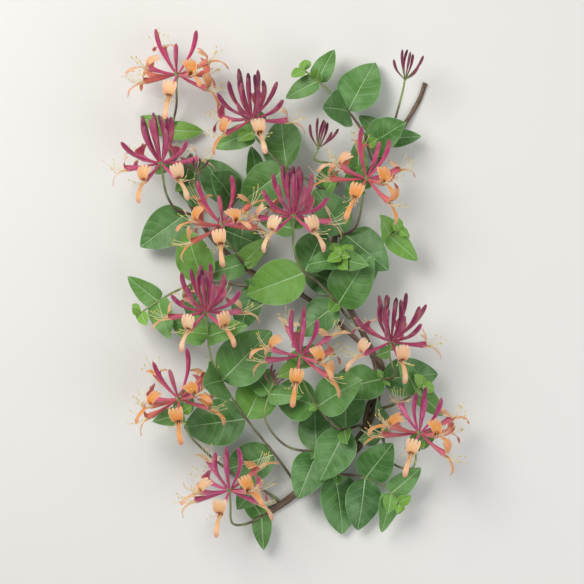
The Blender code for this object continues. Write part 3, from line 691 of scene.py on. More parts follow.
def fine_blade(leaf, tone, young, part):
    """A leaf's blade with its midrib, side veins and quilted face, thinner at its root and its tip."""
    sides = np.array([*BLADE_SIDES[::-1], *(-side for side in BLADE_SIDES[1:])])
    along, across = np.meshgrid(np.linspace(0, 1, BLADE_ROWS + 1), sides, indexing="ij")
    length, out = leaf.length, np.abs(across)
    width = np.maximum(leaf_half_width(leaf, along), TIP_WIDTH / 2 * MM)
    width = np.maximum(width, ROOT_WIDTH / 2 * MM * limited(1 - along * ROOT_NARROWING))
    from_midrib = out * width / MM
    midrib = np.exp(-((from_midrib / MIDRIB_WIDTH) ** 2))
    inside = limited((1 - out) * FLAT_BY_EDGE) * limited(from_midrib / FLAT_BY_MIDRIB)
    veins = np.sin(np.pi * vein_phase(along, out)) ** 2 - 0.5
    quilting = QUILTING * veins * inside * length / (QUILTED_LENGTH * MM)
    edge = EDGE_WAVE * length * out**3 * np.sin(EDGE_WAVES * along + leaf.phase * 3 + across)
    lift = LEAF_FOLD * out * width - LEAF_ARCH * length * along**2
    lift += LEAF_WAVE * length * across * np.sin(LEAF_WAVES * along + leaf.phase)
    lift += (quilting - MIDRIB_DEPTH * midrib) * MM + edge
    root, ahead, sideways, normal = (np.array(vector) for vector in leaf[:4])
    points = root + ahead * (along * length)[..., None] + sideways * (width * across)[..., None]
    points = points + normal * lift[..., None]
    lay = (width * across / MM, along * length / MM, part)
    values = spread(along.shape, lay, along=along, across=across, tone=tone, young=young)
    thickness = (BLADE_THICKNESS + (MIDRIB_THICKNESS - BLADE_THICKNESS) * midrib) * MM
    for share, (least, gain) in ((along, ROOT_THINNING), (1 - along, TIP_THINNING)):
        thickness = thickness * limited(least + share * gain)
    return thickened(grid_sheet(points, values), thickness)


def fine_bud(flower, dark, part):
    """A slim tube that swells into a grooved club with a rounded tip."""
    shares = np.array(BUD_SHARES)
    points, inner, side = arc_at(flower.tube, shares)
    angles = 2 * np.pi * np.arange(BUD_SIDES) / BUD_SIDES
    in_groove = np.abs(np.cos(angles * 2 + GROOVE_TURN)) < GROOVE_REACH
    grooves = 1 - GROOVE_DEPTH * shape_at(GROOVE_FADE, shares)[:, None] * in_groove
    radius = shape_at(BUD_SHAPE, shares)[:, None] * flower.size * MM * grooves
    around = spokes(angles, inner[:, None], side[:, None] * BUD_FLATNESS)
    grid = points[:, None] + radius[..., None] * around
    along = shares[:, None]
    values = spread(
        grid.shape[:2],
        (angles * BUD_PATTERN, along * BUD_LENGTH * flower.size, part),
        along=along,
        across=angles / np.pi - 1,
        belly=-np.cos(angles),
        age=dark,
        open=0,
        back=0,
    )
    return grid_sheet(grid, values, closes=True, caps=True)


def lips_of(flower, turns, phase, rng):
    """The broad upper lip with its four lobes, and the narrow lower one, which a belly of -1 marks for its
    finish."""
    sides, cuts = np.array(LOBE_SIDES), np.array(LOBE_CUTS)
    sides, cuts = np.concatenate([-sides[:0:-1], sides]), np.concatenate([cuts[:0:-1], cuts])
    rows = np.linspace(0, 1, UPPER_ROWS + 1)[1:, None]
    shares = rows * (1 - cuts * rows**2)
    cup, curl = rng.uniform(*UPPER_CUPS), rng.uniform(*UPPER_CURLS)
    flare = np.interp(sides, LOBE_MIDDLES, [rng.uniform(*LOBE_FLARE) for _ in LOBE_MIDDLES])
    upper = Lip(
        arc=flower.upper, turns=turns[: UPPER_SIDES + 1], shape=UPPER_SHAPE, shares=shares, sides=sides,
        cup=cup, curl=curl, flare=flare, phase=phase, pattern=UPPER_PATTERN, belly=0,
    )
    sides = np.linspace(1, -1, MOUTH_SIDES - UPPER_SIDES + 1)
    turns = turns[UPPER_SIDES] + 360 / MOUTH_SIDES * np.arange(len(sides))
    shares = np.linspace(0, 1, LOWER_ROWS + 1)[1:, None] + 0 * sides
    curl, flare = -rng.uniform(*LOWER_CURLS), rng.uniform(*LOWER_FLARE)
    lower = Lip(
        arc=flower.lower, turns=turns, shape=LOWER_SHAPE, shares=shares, sides=sides,
        cup=LOWER_CUP, curl=curl, flare=flare, phase=phase + 2, pattern=LOWER_PATTERN, belly=-1,
    )
    return upper, lower


def lip_points(flower, lip):
    """A lip as a grid: at the mouth it follows the tube's wall, and further on it is a cupped strap whose
    tip flares and whose margins ripple."""
    mouth, _, _ = arc_at(flower.tube, np.array(1.0))
    start, _, _ = arc_at(lip.arc, np.array(0.0))
    points, inner, side = arc_at(lip.arc, lip.shares)
    size, shares, sides = flower.size * MM, lip.shares, lip.sides
    wall = mouth + points - start
    wall = wall + TUBE_SHAPE[-1][1] * size * spokes(np.radians(lip.turns), inner, side)
    half = shape_at(lip.shape, shares) * size
    tip = limited((shares - 1 + TIP_SHARE) / TIP_SHARE) ** 2
    bow = (lip.cup * (1 - shares) + lip.curl * shares) * sides**2 * half
    bow = bow + (TIP_CURL * np.sign(lip.curl) + lip.flare) * size * tip
    ripple = np.sin(PETAL_RIPPLES * shares + lip.phase + 2 * sides)
    bow = bow + PETAL_RIPPLE * size * np.abs(sides) ** 3 * ripple
    strap = points + side * (half * sides)[..., None] + inner * bow[..., None]
    blend = limited(shares / MOUTH_BLEND)
    blend = (blend * blend * (3 - 2 * blend))[..., None]
    return wall * (1 - blend) + strap * blend


def fine_flower(flower, age, part, rng):
    """An open flower: a slender tube, and the two lips that its mouth opens into."""
    shares = np.linspace(0, 1, TUBE_ROWS + 1)
    points, inner, side = arc_at(flower.tube, shares)
    turns = MOUTH_START + 360 / MOUTH_SIDES * np.arange(MOUTH_SIDES)
    angles = np.radians(turns)
    radius = shape_at(TUBE_SHAPE, shares)[:, None, None] * flower.size * MM
    tube = points[:, None] + radius * spokes(angles, inner[:, None], side[:, None])
    length = TUBE_LENGTH * flower.size
    along = shares[:, None]
    values = spread(
        tube.shape[:2],
        (angles * TUBE_PATTERN, along * length, part),
        along=along * TUBE_SHARE,
        across=np.sin(angles),
        belly=-np.cos(angles),
        age=age,
        open=1,
    )
    sheets = [grid_sheet(tube, values, closes=True)]
    for lip in lips_of(flower, turns, part, rng):
        values = spread(
            lip.shares.shape,
            (lip.sides * lip.pattern, length + lip.shares * LIP_RUN, part),
            along=TUBE_SHARE + LIP_SHARE * lip.shares,
            across=lip.sides,
            belly=lip.belly,
            age=age,
            open=1,
        )
        sheets.append(grid_sheet(lip_points(flower, lip), values))
    starts = np.cumsum([len(sheet.points) for sheet in sheets])
    mouth = np.arange(starts[0] - MOUTH_SIDES, starts[0])
    edges = (mouth[: UPPER_SIDES + 1], np.append(mouth[UPPER_SIDES:], mouth[0]))
    seams = [quads_of(np.stack([edge, start + np.arange(len(edge))])) for edge, start in zip(edges, starts)]
    whole = joined(sheets)
    return thickened(whole._replace(quads=np.concatenate([whole.quads, *seams])), PETAL_THIN * MM)


def framed(points):
    """The two directions square to a route at each of its points, carried along it with no twist."""
    heading = unit(np.gradient(points, axis=0))
    rise = np.zeros_like(points)
    last = np.array([0.0, 0.0, 1.0])
    for k, ahead in enumerate(heading):
        last = unit(last - ahead * last.dot(ahead))
        rise[k] = last
    return rise, np.cross(heading, rise)


def stem_sheet(route, spacing, sides, radius_of, part, floor=None):
    """A tube along a route. radius_of gives its radius from the share along, the run in millimetres and the
    angle round it."""
    points = np.array([point[:] for point in smooth_route(route, spacing)])
    share = np.linspace(0, 1, len(points))[:, None]
    run = np.cumsum(np.linalg.norm(np.diff(points, axis=0, prepend=points[:1]), axis=1))[:, None] / MM
    angle = 2 * np.pi * np.arange(sides)[None] / sides
    rise, across = framed(points)
    radius = radius_of(share, run, angle)
    around = spokes(angle, rise[:, None], across[:, None])
    grid = points[:, None] + radius[..., None] * around
    if floor is not None:
        grid[..., 2] = np.maximum(grid[..., 2], floor)
    lay = (angle * radius / MM, run, part)
    values = spread(grid.shape[:2], lay, along=share, upward=around[..., 2])
    return grid_sheet(grid, values, closes=True, caps=True)


def bark_radius(widths, seed):
    """Stringy bark: long ridges that drift round the stem, and a thicker joint every few centimetres."""
    rng = random.Random(seed)
    waves = [
        (ridges, rng.uniform(*RIDGE_STARTS), stray(rng, RIDGE_DRIFT), rng.uniform(*RIDGE_PACES))
        for ridges in BARK_RIDGES
    ]

    def radius(share, run, angle):
        smooth = (widths[0] + (widths[1] - widths[0]) * share) / 2
        relief = sum(
            np.sin(ridges * angle + start + drift * run + RIDGE_WANDER * np.sin(run / pace))
            for ridges, start, drift, pace in waves
        )
        from_joint = (run + JOINT_START) % JOINT_SPACING - JOINT_SPACING / 2
        joint = np.exp(-(from_joint**2) / JOINT_REACH**2)
        return (smooth * (1 + JOINT_SWELL * joint) + RIDGE_DEPTH * relief * np.sqrt(smooth)) * MM

    return radius


def green_radius(shoot):
    """A green stem's radius, with a swelling where each pair of leaves leaves it."""

    def radius(share, run, angle):
        smooth = (SHOOT_WIDTHS[0] + (SHOOT_WIDTHS[1] - SHOOT_WIDTHS[0]) * share) / 2
        from_pairs = [(share - pair_share(shoot, pair)) * run.max() for pair in range(shoot.pairs)]
        joints = sum(np.exp(-(away**2) / PAIR_REACH**2) for away in from_pairs)
        return smooth * (1 + PAIR_SWELL * joints) * MM + 0 * angle

    return radius


def filaments(flower, rng):
    """The stamens and the style of an open flower, as lines that fan out of its mouth."""
    mouth, heading, inner = flower.tube[-1]
    vectors = (mouth, heading, inner, heading.cross(inner))
    mouth, heading, inner, side = (np.array(vector) for vector in vectors)
    size = flower.size * MM
    steps = np.linspace(0, 1, FILAMENT_STEPS + 1)[:, None]
    threads = []
    for k in range(STAMENS + 1):
        style = k == STAMENS
        fan = 0 if style else (k - STAMENS // 2) * FILAMENT_FAN
        fan = math.radians(stray(rng, FAN_STRAY) + fan)
        dip = math.sin(math.radians(rng.uniform(*FILAMENT_DIPS)))
        rise = math.sin(math.radians(rng.uniform(*FILAMENT_RISES)))
        length = rng.uniform(*FILAMENT_LENGTHS) + (STYLE_LONGER if style else 0)
        out = heading * math.cos(fan) + side * math.sin(fan)
        path = out * steps * length - inner * dip * steps * length
        path = path + inner * (rise + dip) * steps**FILAMENT_SWEEP * length * FILAMENT_LIFT
        start = mouth - heading * FILAMENT_SUNK * size + side * math.sin(fan) * size * FILAMENT_APART
        points = start + path * size
        aim = points[-1] - points[-2]
        if style:
            threads.append(Thread(points, STYLE_HALF, STIGMA, aim))
            continue
        aim = aim / np.linalg.norm(aim) + side * stray(rng, ANTHER_STRAY) + inner * stray(rng, ANTHER_STRAY)
        threads.append(Thread(points, FILAMENT_HALF, ANTHER, aim))
    return threads


class Growth:
    """A geometry tree that takes a mesh, whole numbers that are named for what they count, and a finish."""

    def __init__(self, name, **counts):
        self.tree = bpy.data.node_groups.new(name, "GeometryNodeTree")
        sockets = self.tree.interface
        sockets.new_socket("Geometry", in_out="INPUT", socket_type="NodeSocketGeometry")
        sockets.new_socket("Geometry", in_out="OUTPUT", socket_type="NodeSocketGeometry")
        for label, count in counts.items():
            sockets.new_socket(label, in_out="INPUT", socket_type="NodeSocketInt").default_value = count
        sockets.new_socket("Finish", in_out="INPUT", socket_type="NodeSocketMaterial")
        self.given = self.tree.nodes.new("NodeGroupInput").outputs

    def add(self, kind, settings=None, **inputs):
        """Adds a node and returns its first output. An input is a value, a socket or a list of sockets, and
        underscores in its name stand for spaces."""
        node = self.tree.nodes.new(kind)
        for name, value in (settings or {}).items():
            setattr(node, name, value)
        for name, value in inputs.items():
            socket = node.inputs[name.replace("_", " ")]
            if isinstance(value, (bpy.types.NodeSocket, list)):
                for source in value if isinstance(value, list) else [value]:
                    self.tree.links.new(source, socket)
            else:
                socket.default_value = value
        return node.outputs[0] if node.outputs else None

    def stored(self, name, kind="FLOAT"):
        return self.add("GeometryNodeInputNamedAttribute", {"data_type": kind}, Name=name)

    def marked(self, geometry, knob):
        """Smooth faces whose points know whether they are on a knob."""
        smooth = self.add("GeometryNodeSetShadeSmooth", Geometry=geometry)
        settings = {"data_type": "FLOAT", "domain": "POINT"}
        return self.add("GeometryNodeStoreNamedAttribute", settings, Geometry=smooth, Name="knob", Value=knob)

    def knobs(self, **chosen):
        """A small round body at each point, or each chosen one, of its own size and turned to its aim."""
        sides, rings = self.given["Knob sides"], self.given["Knob rings"]
        ball = self.add("GeometryNodeMeshUVSphere", Segments=sides, Rings=rings, Radius=MM)
        aim = self.stored("aim", "FLOAT_VECTOR")
        turned = self.add("FunctionNodeAlignRotationToVector", {"axis": "Z"}, Vector=aim)
        placed = self.add(
            "GeometryNodeInstanceOnPoints",
            Points=self.given["Geometry"],
            Instance=ball,
            Rotation=turned,
            Scale=self.stored("swell", "FLOAT_VECTOR"),
            **chosen,
        )
        return self.marked(self.add("GeometryNodeRealizeInstances", Geometry=placed), 1.0)

    def finished(self, parts):
        """Joins the parts, gives them the finish and sends them out."""
        whole = self.add("GeometryNodeJoinGeometry", Geometry=parts)
        whole = self.add("GeometryNodeRealizeInstances", Geometry=whole)
        dressed = self.add("GeometryNodeSetMaterial", Geometry=whole, Material=self.given["Finish"])
        self.add("NodeGroupOutput", Geometry=dressed)
        return self.tree


def thread_tree():
    """Lines become round threads of their own half width, and a chosen point of each bears a knob."""
    growth = Growth("Threads", **{"Thread sides": 4, "Knob sides": 6, "Knob rings": 4})
    curve = growth.add("GeometryNodeMeshToCurve", Mesh=growth.given["Geometry"])
    ring = growth.add("GeometryNodeCurvePrimitiveCircle", Resolution=growth.given["Thread sides"], Radius=MM)
    half = growth.stored("half")
    shape = {"Curve": curve, "Profile_Curve": ring, "Scale": half, "Fill_Caps": True}
    threads = growth.add("GeometryNodeCurveToMesh", **shape)
    knobs = growth.knobs(Selection=growth.stored("tip", "BOOLEAN"))
    return growth.finished([growth.marked(threads, 0.0), knobs])


def knob_tree():
    """Each point becomes a small round body."""
    growth = Growth("Knobs", **{"Knob sides": 8, "Knob rings": 6})
    return growth.finished([growth.knobs()])


def grown(name, mesh, tree, finish):
    """What a geometry tree grows from a mesh, as a plain mesh."""
    seed = bpy.data.objects.new(name, mesh)
    bpy.context.scene.collection.objects.link(seed)
    modifier = seed.modifiers.new("Growth", "NODES")
    modifier.node_group = tree
    for item in tree.interface.items_tree:
        if item.item_type == "SOCKET" and item.in_out == "INPUT" and item.name == "Finish":
            modifier[item.identifier] = finish
    graph = bpy.context.evaluated_depsgraph_get()
    result = bpy.data.meshes.new_from_object(seed.evaluated_get(graph))
    bpy.data.objects.remove(seed)
    result.name = name
    return result


def write_values(mesh, values):
    for name, value in values.items():
        value = np.asarray(value)
        kind = {"b": "BOOLEAN", "f": "FLOAT"}[value.dtype.kind] if value.ndim == 1 else "FLOAT_VECTOR"
        layer = mesh.attributes.new(name, kind, "POINT")
        layer.data.foreach_set("vector" if kind == "FLOAT_VECTOR" else "value", value.ravel())


def mesh_of(name, sheet):
    mesh = bpy.data.meshes.new(name)
    mesh.from_pydata(sheet.points.tolist(), [], sheet.quads.tolist() + [cap.tolist() for cap in sheet.caps])
    write_values(mesh, sheet.values)
    mesh.shade_smooth()
    mesh.set_sharp_from_angle(angle=math.radians(SHARP_ANGLE))
    return mesh


def piece(name, mesh, finish, slot, *nodes):
    """Puts a finished mesh in the scene, in place of the solids that it stands for."""
    mesh.materials.clear()
    mesh.materials.append(finish)
    body = bpy.data.objects.new(name, mesh)
    bpy.context.scene.collection.objects.link(body)
    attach(body, "root")
    if nodes:
        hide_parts(*nodes)


def paint(code):
    """A colour in linear light from its screen code."""
    screen = [int(code[k : k + 2], 16) / 255 for k in (0, 2, 4)]
    return tuple(c / 12.92 if c <= 0.04045 else ((c + 0.055) / 1.055) ** 2.4 for c in screen)


class Tap:
    """A shader's number or colour. Python's operators on it add the nodes."""

    def __init__(self, finish, socket):
        self.finish, self.socket = finish, socket

    def maths(self, operation, *others):
        return self.finish.node("ShaderNodeMath", {"operation": operation}, dict(enumerate((self, *others))))

    def __add__(self, other):
        return self.maths("ADD", other)

    def __sub__(self, other):
        return self.maths("SUBTRACT", other)

    def __mul__(self, other):
        return self.maths("MULTIPLY", other)

    def __rsub__(self, other):
        return self.finish.node("ShaderNodeMath", {"operation": "SUBTRACT"}, {0: other, 1: self})

    def __pow__(self, other):
        return self.maths("POWER", other)

    def __abs__(self):
        return self.maths("ABSOLUTE")

    __radd__, __rmul__ = __add__, __mul__

    def between(self, low, high, to_low=0.0, to_high=1.0):
        """Runs smoothly from to_low to to_high while this runs from low to high."""
        settings = {"interpolation_type": "SMOOTHSTEP"}
        inputs = {"Value": self, "From Min": low, "From Max": high, "To Min": to_low, "To Max": to_high}
        return self.finish.node("ShaderNodeMapRange", settings, inputs)


class Finish:
    """A material and the nodes in it. Colours are given as their screen codes."""

    def __init__(self, name):
        self.material = bpy.data.materials.new(name)
        self.material.use_nodes = True
        self.tree = self.material.node_tree
        self.surface = self.tree.nodes["Principled BSDF"]

    def feed(self, socket, value):
        if isinstance(value, Tap):
            self.tree.links.new(value.socket, socket)
        elif isinstance(value, str):
            socket.default_value = (*paint(value), 1)
        else:
            socket.default_value = value

    def node(self, kind, settings=None, inputs=None, output=0):
        made = self.tree.nodes.new(kind)
        for name, value in (settings or {}).items():
            setattr(made, name, value)
        for name, value in (inputs or {}).items():
            self.feed(made.inputs[name], value)
        return Tap(self, made.outputs[output])

    def values(self, names, output="Fac"):
        """The values of these names that the piece's points carry."""
        kind = "ShaderNodeAttribute"
        return [self.node(kind, {"attribute_name": name}, output=output) for name in names.split()]

    def lay(self):
        """Where each point lies in its own pattern, in millimetres."""
        return self.values("lay", "Vector")[0]

    def mix(self, share, one, other):
        """The first colour, turning into the second as the share grows."""
        return self.node("ShaderNodeMix", {"data_type": "RGBA"}, {0: share, 6: one, 7: other}, 2)

    def layered(self, colour, *layers):
        """A colour under others, each laid on by its share."""
        for share, other in layers:
            colour = self.mix(share, colour, other)
        return colour

    def noise(self, place, scale, detail=3.0, roughness=0.5):
        """Soft clouds. Their scale is a number, or one for each direction of the place."""
        if isinstance(scale, tuple):
            place = self.node("ShaderNodeVectorMath", {"operation": "MULTIPLY"}, {0: place, 1: scale})
            scale = 1.0
        inputs = {"Vector": place, "Scale": scale, "Detail": detail, "Roughness": roughness}
        return self.node("ShaderNodeTexNoise", None, inputs)

    def set(self, **inputs):
        """Feeds the surface's inputs, named with underscores for spaces."""
        for name, value in inputs.items():
            self.feed(self.surface.inputs[name.replace("_", " ")], value)
        return self.material

    def relief(self, height, depth, strength):
        """Fine relief on the surface, of a depth in millimetres."""
        inputs = {"Height": height, "Distance": depth * MM, "Strength": strength}
        self.set(Normal=self.node("ShaderNodeBump", None, inputs))

    def glow(self, weight, reach, depth=1.0):
        """Light that passes under the skin: how much, how far in each colour, and to what depth in
        millimetres."""
        self.set(Subsurface_Weight=weight, Subsurface_Radius=reach, Subsurface_Scale=depth * MM)


def leaf_finish():
    """Satin leaves: green above with pale veins, greyer and waxy beneath, and yellow-green where young."""
    leaf = Finish("leaf")
    along, across, back, tone, young = leaf.values("along across back tone young")
    lay = leaf.lay()
    cloud = leaf.noise(lay, (0.06, 0.06, 1), 2.0)
    mottle = leaf.noise(lay, (0.9, 0.9, 1), 4.0, 0.6)
    out = abs(across)
    from_vein = abs(vein_phase(along, out).maths("FRACT") - 0.5)
    side_vein = from_vein.between(0.42, 0.5) * out.between(1.0, 0.75) * along.between(0.02, 0.1)
    from_midrib = abs(leaf.node("ShaderNodeSeparateXYZ", None, {0: lay}))
    midrib = (from_midrib * (along * 1.4 + 0.8)).between(0.75, 0.25)
    # The green runs from dark to light with each leaf's tone value, which carries the leaf's own tone and
    # painted shade on the lower leaves
    face = leaf.layered(
        leaf.mix(tone, "2C5922", "60923F"),
        (cloud.between(0.35, 0.7) * 0.5, "84AC72"),
        (young, "86B844"),
        (mottle.between(0.3, 0.75) * 0.22, "1E4A26"),
        (side_vein * 0.3, "8DBE86"),
        (out.between(0.95, 1.0) * 0.55, "9CC493"),
        (midrib * 0.75, "B4D2A0"),
    )
    under = leaf.layered(
        leaf.mix(cloud.between(0.3, 0.7), "7FAE8C", "9CC3A5"),
        (young * 0.7, "9CC46A"),
        (side_vein * 0.5, "B9D6B4"),
        (midrib * 0.9, "C6DDB6"),
    )
    leaf.relief(mottle * 0.25 + (1 - side_vein) * 0.6 + (1 - midrib) * 0.9, 0.22, 0.7)
    leaf.glow(0.12, (0.4, 1.0, 0.2))
    return leaf.set(
        Base_Color=leaf.mix(back, face, under),
        Roughness=mottle.between(0.3, 0.7, 0.42, 0.56),
        Specular_IOR_Level=0.4,
    )


def petal_finish(name, bud_root, bud, bud_tip, lip, fresh, old):
    """Velvety petals. Buds go from their root's colour to their tip's; open flowers are the lip's colour
    outside, and inside turn from the fresh colour to the old one."""
    petal = Finish(name)
    along, belly, back, age, opened, across = petal.values("along belly back age open across")
    across = abs(across)
    lay = petal.lay()
    cloud = petal.noise(lay, (0.25, 0.12, 1), 2.0)
    streak = petal.noise(lay, (2.4, 0.09, 1), 3.0, 0.6)
    fuzz = petal.noise(lay, (7, 7, 1), 2.0, 0.6)
    closed = petal.layered(
        bud_root,
        (along.between(0.05, 0.5), bud),
        (along.between(0.6, 1.0) * (0.35 + age * 0.65), bud_tip),
        (belly.between(0.1, 1.0) * 0.4 * (1 - age * 0.6), lip),
        (streak.between(0.45, 0.75) * 0.3, bud_tip),
    )
    outside = petal.layered(
        bud_root,
        (along.between(0.1, 0.75), lip),
        (streak.between(0.45, 0.7) * 0.45, bud),
        (age.between(0.4, 1.0) * 0.7, petal.mix(along, "C9504E", "E8955A")),
        (across.between(0.6, 1.0) * along.between(0.58, 0.8) * 0.65, fresh),
    )
    inside = petal.layered(
        fresh,
        (age.between(0.15, 0.75), old),
        (along.between(0.8, 0.55) * 0.6, "E08A35"),
        (along.between(0.8, 1.0) * (1 - age * 0.5) * 0.55, "F6DFC4"),
        (across.between(0.55, 0.9) * (1 - age) * 0.35, lip),
        (across.between(0.86, 1.0) * 0.5, "F8E6CE"),
        (streak.between(0.4, 0.7) * 0.3, "DC8A48"),
        (streak.between(0.45, 0.25) * across.between(0.9, 0.3) * 0.4, "FBE6C8"),
        (belly.between(-0.6, -1.0) * along.between(0.88, 1.0) * 0.6, "C9705A"),
    )
    skin = petal.mix(opened, closed, petal.mix(back, outside, inside))
    petal.relief(streak * 0.6 + fuzz * 0.4, 0.18, 0.55)
    petal.glow(0.35, (1.0, 0.45, 0.3), 1.5)
    return petal.set(
        Base_Color=petal.mix(cloud.between(0.4, 0.75) * 0.18, skin, fresh),
        Roughness=fuzz.between(0.3, 0.7, 0.45, 0.62),
        Specular_IOR_Level=0.35,
        Sheen_Weight=0.25,
        Sheen_Roughness=0.45,
    )


def bark_finish():
    """Grey-brown bark that frays into long strings."""
    bark = Finish("bark")
    lay = bark.lay()
    strings = bark.noise(lay, (2.6, 0.10, 1), 5.0, 0.65)
    patches = bark.noise(lay, (0.35, 0.06, 1))
    skin = bark.layered(
        "3B2A22",
        (strings.between(0.3, 0.7), "8C7664"),
        (patches.between(0.45, 0.75) * 0.6, "A89A88"),
        (patches.between(0.5, 0.25) * 0.5, "5A3A30"),
    )
    bark.relief(strings, 0.6, 0.9)
    rough = strings.between(0.2, 0.8, 0.95, 0.7)
    return bark.set(Base_Color=skin, Roughness=rough, Specular_IOR_Level=0.25)


def green_finish():
    """Young stems: purple-brown toward the light, green beneath and toward their tips."""
    green = Finish("green_stem")
    along, upward = green.values("along upward")
    lay = green.lay()
    cloud = green.noise(lay, (0.3, 0.08, 1))
    lines = green.noise(lay, (3.5, 0.2, 1))
    purple = upward.between(-0.6, 0.7) * cloud.between(0.25, 0.6)
    skin = green.layered(
        "8FA866",
        (purple * along.between(1.1, 0.35), "64414A"),
        (lines.between(0.4, 0.7) * 0.3, "4A2F35"),
    )
    green.relief(lines, 0.2, 0.5)
    green.glow(0.1, (0.5, 0.8, 0.3))
    rough = lines.between(0.3, 0.7, 0.5, 0.65)
    return green.set(Base_Color=skin, Roughness=rough, Specular_IOR_Level=0.4)


def thread_finish():
    """Cream filaments with mealy yellow anthers."""
    thread = Finish("stamen")
    knob = thread.values("knob")[0]
    place = thread.node("ShaderNodeTexCoord", output="Object")
    meal = thread.noise(place, 2500.0, 3.0, 0.7)
    line = thread.mix(meal.between(0.3, 0.7), "F6EEC6", "ECDDAA")
    grain = thread.mix(meal.between(0.35, 0.65), "CFA843", "EFDC84")
    thread.relief(meal * knob, 0.2, 0.7)
    thread.glow(0.2, (1.0, 0.8, 0.4))
    skin = thread.mix(knob, line, grain)
    return thread.set(Base_Color=skin, Roughness=knob * 0.35 + 0.5, Specular_IOR_Level=0.35)


def ovary_finish():
    """Pale green ovaries with a waxy bloom, darker between."""
    ovary = Finish("ovary")
    place = ovary.node("ShaderNodeTexCoord", output="Object")
    cloud = ovary.noise(place, 260.0, 3.0, 0.6)
    speck = ovary.noise(place, 1400.0, 2.0, 0.6)
    skin = ovary.layered(
        "5E7F45",
        (cloud.between(0.3, 0.7), "A9C07C"),
        (speck.between(0.5, 0.8) * 0.5, "D6D9A8"),
    )
    ovary.relief(speck, 0.2, 0.5)
    ovary.glow(0.15, (0.6, 1.0, 0.3))
    rough = speck.between(0.3, 0.7, 0.5, 0.65)
    return ovary.set(Base_Color=skin, Roughness=rough, Specular_IOR_Level=0.4)


def small_pair(route, share, turn, length, young, rng):
    """Two small leaves, one to each side of a shoot."""
    for hand in (1, -1):
        leaf = turned_leaf(route, share, turn, hand, length, False, rng)
        yield fine_blade(leaf, SMALL_LEAF_TONE, young, rng.uniform(0, PATTERN_PARTS))


def make_leaves(shoot, route, leaves, finish):
    """A shoot's leaves, the small ones that start beside some pairs, and a flowerless shoot's youngest."""
    rng = random.Random(f"blades {shoot.name}")
    blades = []
    for leaf in leaves:
        # Painted shade: the lower a leaf lies, the darker its green; the stray is the leaf's own tone
        tone = LEAST_TONE + PAINTED_SHADE_GAIN * limited(leaf.root.z / (PAINTED_SHADE_HEIGHT * MM)) + stray(rng, TONE_STRAY)
        young = CLASPING_YOUTH * leaf.clasps * rng.random() + (YOUTH if rng.random() < YOUNG_SHARE else 0)
        blades.append(fine_blade(leaf, limited(tone), young, rng.uniform(0, PATTERN_PARTS)))
    for pair in range(shoot.pairs):
        if rng.random() < AXIL_SHARE:
            turn = rng.uniform(*AXIL_TURNS) * rng.choice((1, -1))
            length = rng.uniform(*AXIL_LENGTHS)
            young = rng.uniform(*AXIL_YOUTHS)
            share = pair_share(shoot, pair) + AXIL_OUT
            for blade in small_pair(route, share, turn, length, young, rng):
                if blade.points[:, 2].min() > CLEARANCE_ABOVE * MM:
                    blades.append(blade)
    if not shoot.bloom:
        for k, (length, share) in enumerate(TIP_LEAVES):
            blades += small_pair(route, share, TIP_TURN + 90 * k, length, TIP_YOUTH, rng)
    name = f"leafy_shoot_{shoot.name}"
    piece(f"{name}_leaves", mesh_of(f"{name}_leaves", joined(blades)), finish, "leaf", name)


def make_bloom(shoot, flowers, finish):
    """The buds and open flowers of one head. Returns the lines of its stamens."""
    rng = random.Random(f"petals {shoot.name}")
    stage = shoot.bloom.stage
    _, axis = seat_of(shoot.bloom)
    sheets, threads = [], []
    for flower in flowers:
        part = rng.uniform(0, PATTERN_PARTS)
        if flower.upper:
            age = limited(AGES[stage] + rng.uniform(*AGE_STRAYS))
            sheets.append(fine_flower(flower, age, part, rng))
            threads += filaments(flower, rng)
        else:
            upright = flower.tube[0][1].dot(axis)
            dark = limited((upright - DARK_FROM) * DARK_GAIN + stray(rng, DARK_STRAY))
            sheets.append(fine_bud(flower, dark, part))
    name = f"bloom_{shoot.name}"
    piece(f"{name}_petals", mesh_of(f"{name}_petals", joined(sheets)), finish, stage, name)
    return threads


def make_threads(threads, finish):
    """Every stamen and style of the vine, grown from their lines."""
    count = FILAMENT_STEPS + 1
    starts = np.arange(len(threads))[:, None] * count + np.arange(FILAMENT_STEPS)
    edges = np.stack([starts, starts + 1], axis=-1).reshape(-1, 2)
    mesh = bpy.data.meshes.new("stamens")
    mesh.from_pydata(np.concatenate([thread.points for thread in threads]).tolist(), edges.tolist(), [])
    taper = np.linspace(1, THREAD_TIP, count)
    values = {
        "half": np.concatenate([thread.half * taper for thread in threads]),
        "tip": np.tile(np.arange(count) == FILAMENT_STEPS, len(threads)),
        "swell": np.repeat([thread.knob for thread in threads], count, axis=0),
        "aim": np.repeat([thread.aim for thread in threads], count, axis=0),
    }
    write_values(mesh, values)
    piece("stamens", grown("stamens", mesh, thread_tree(), finish), finish, "full")


def make_ovaries(flowers, finish):
    """A small ovary under each flower, and the knot that they crowd round."""
    knobs = []
    for shoot in (shoot for shoot in SHOOTS if shoot.bloom):
        core, axis = seat_of(shoot.bloom)
        size = core_size(shoot.bloom)
        for flower in flowers[shoot.name]:
            root, ahead, _ = flower.tube[0]
            knobs.append((root - ahead * OVARY_SUNK * MM, ahead, np.array(OVARY) * size))
        for part in range(KNOT_PARTS):
            place = core + axis * (part + KNOT_START) * KNOT_STEP * size * MM
            knobs.append((place, axis, np.array(KNOT) * size))
    places, aims, swells = (np.array([list(vector) for vector in column]) for column in zip(*knobs))
    mesh = bpy.data.meshes.new("ovaries")
    mesh.from_pydata(places.tolist(), [], [])
    write_values(mesh, {"aim": aims, "swell": swells})
    piece("ovaries", grown("ovaries", mesh, knob_tree(), finish), finish, "leaf")


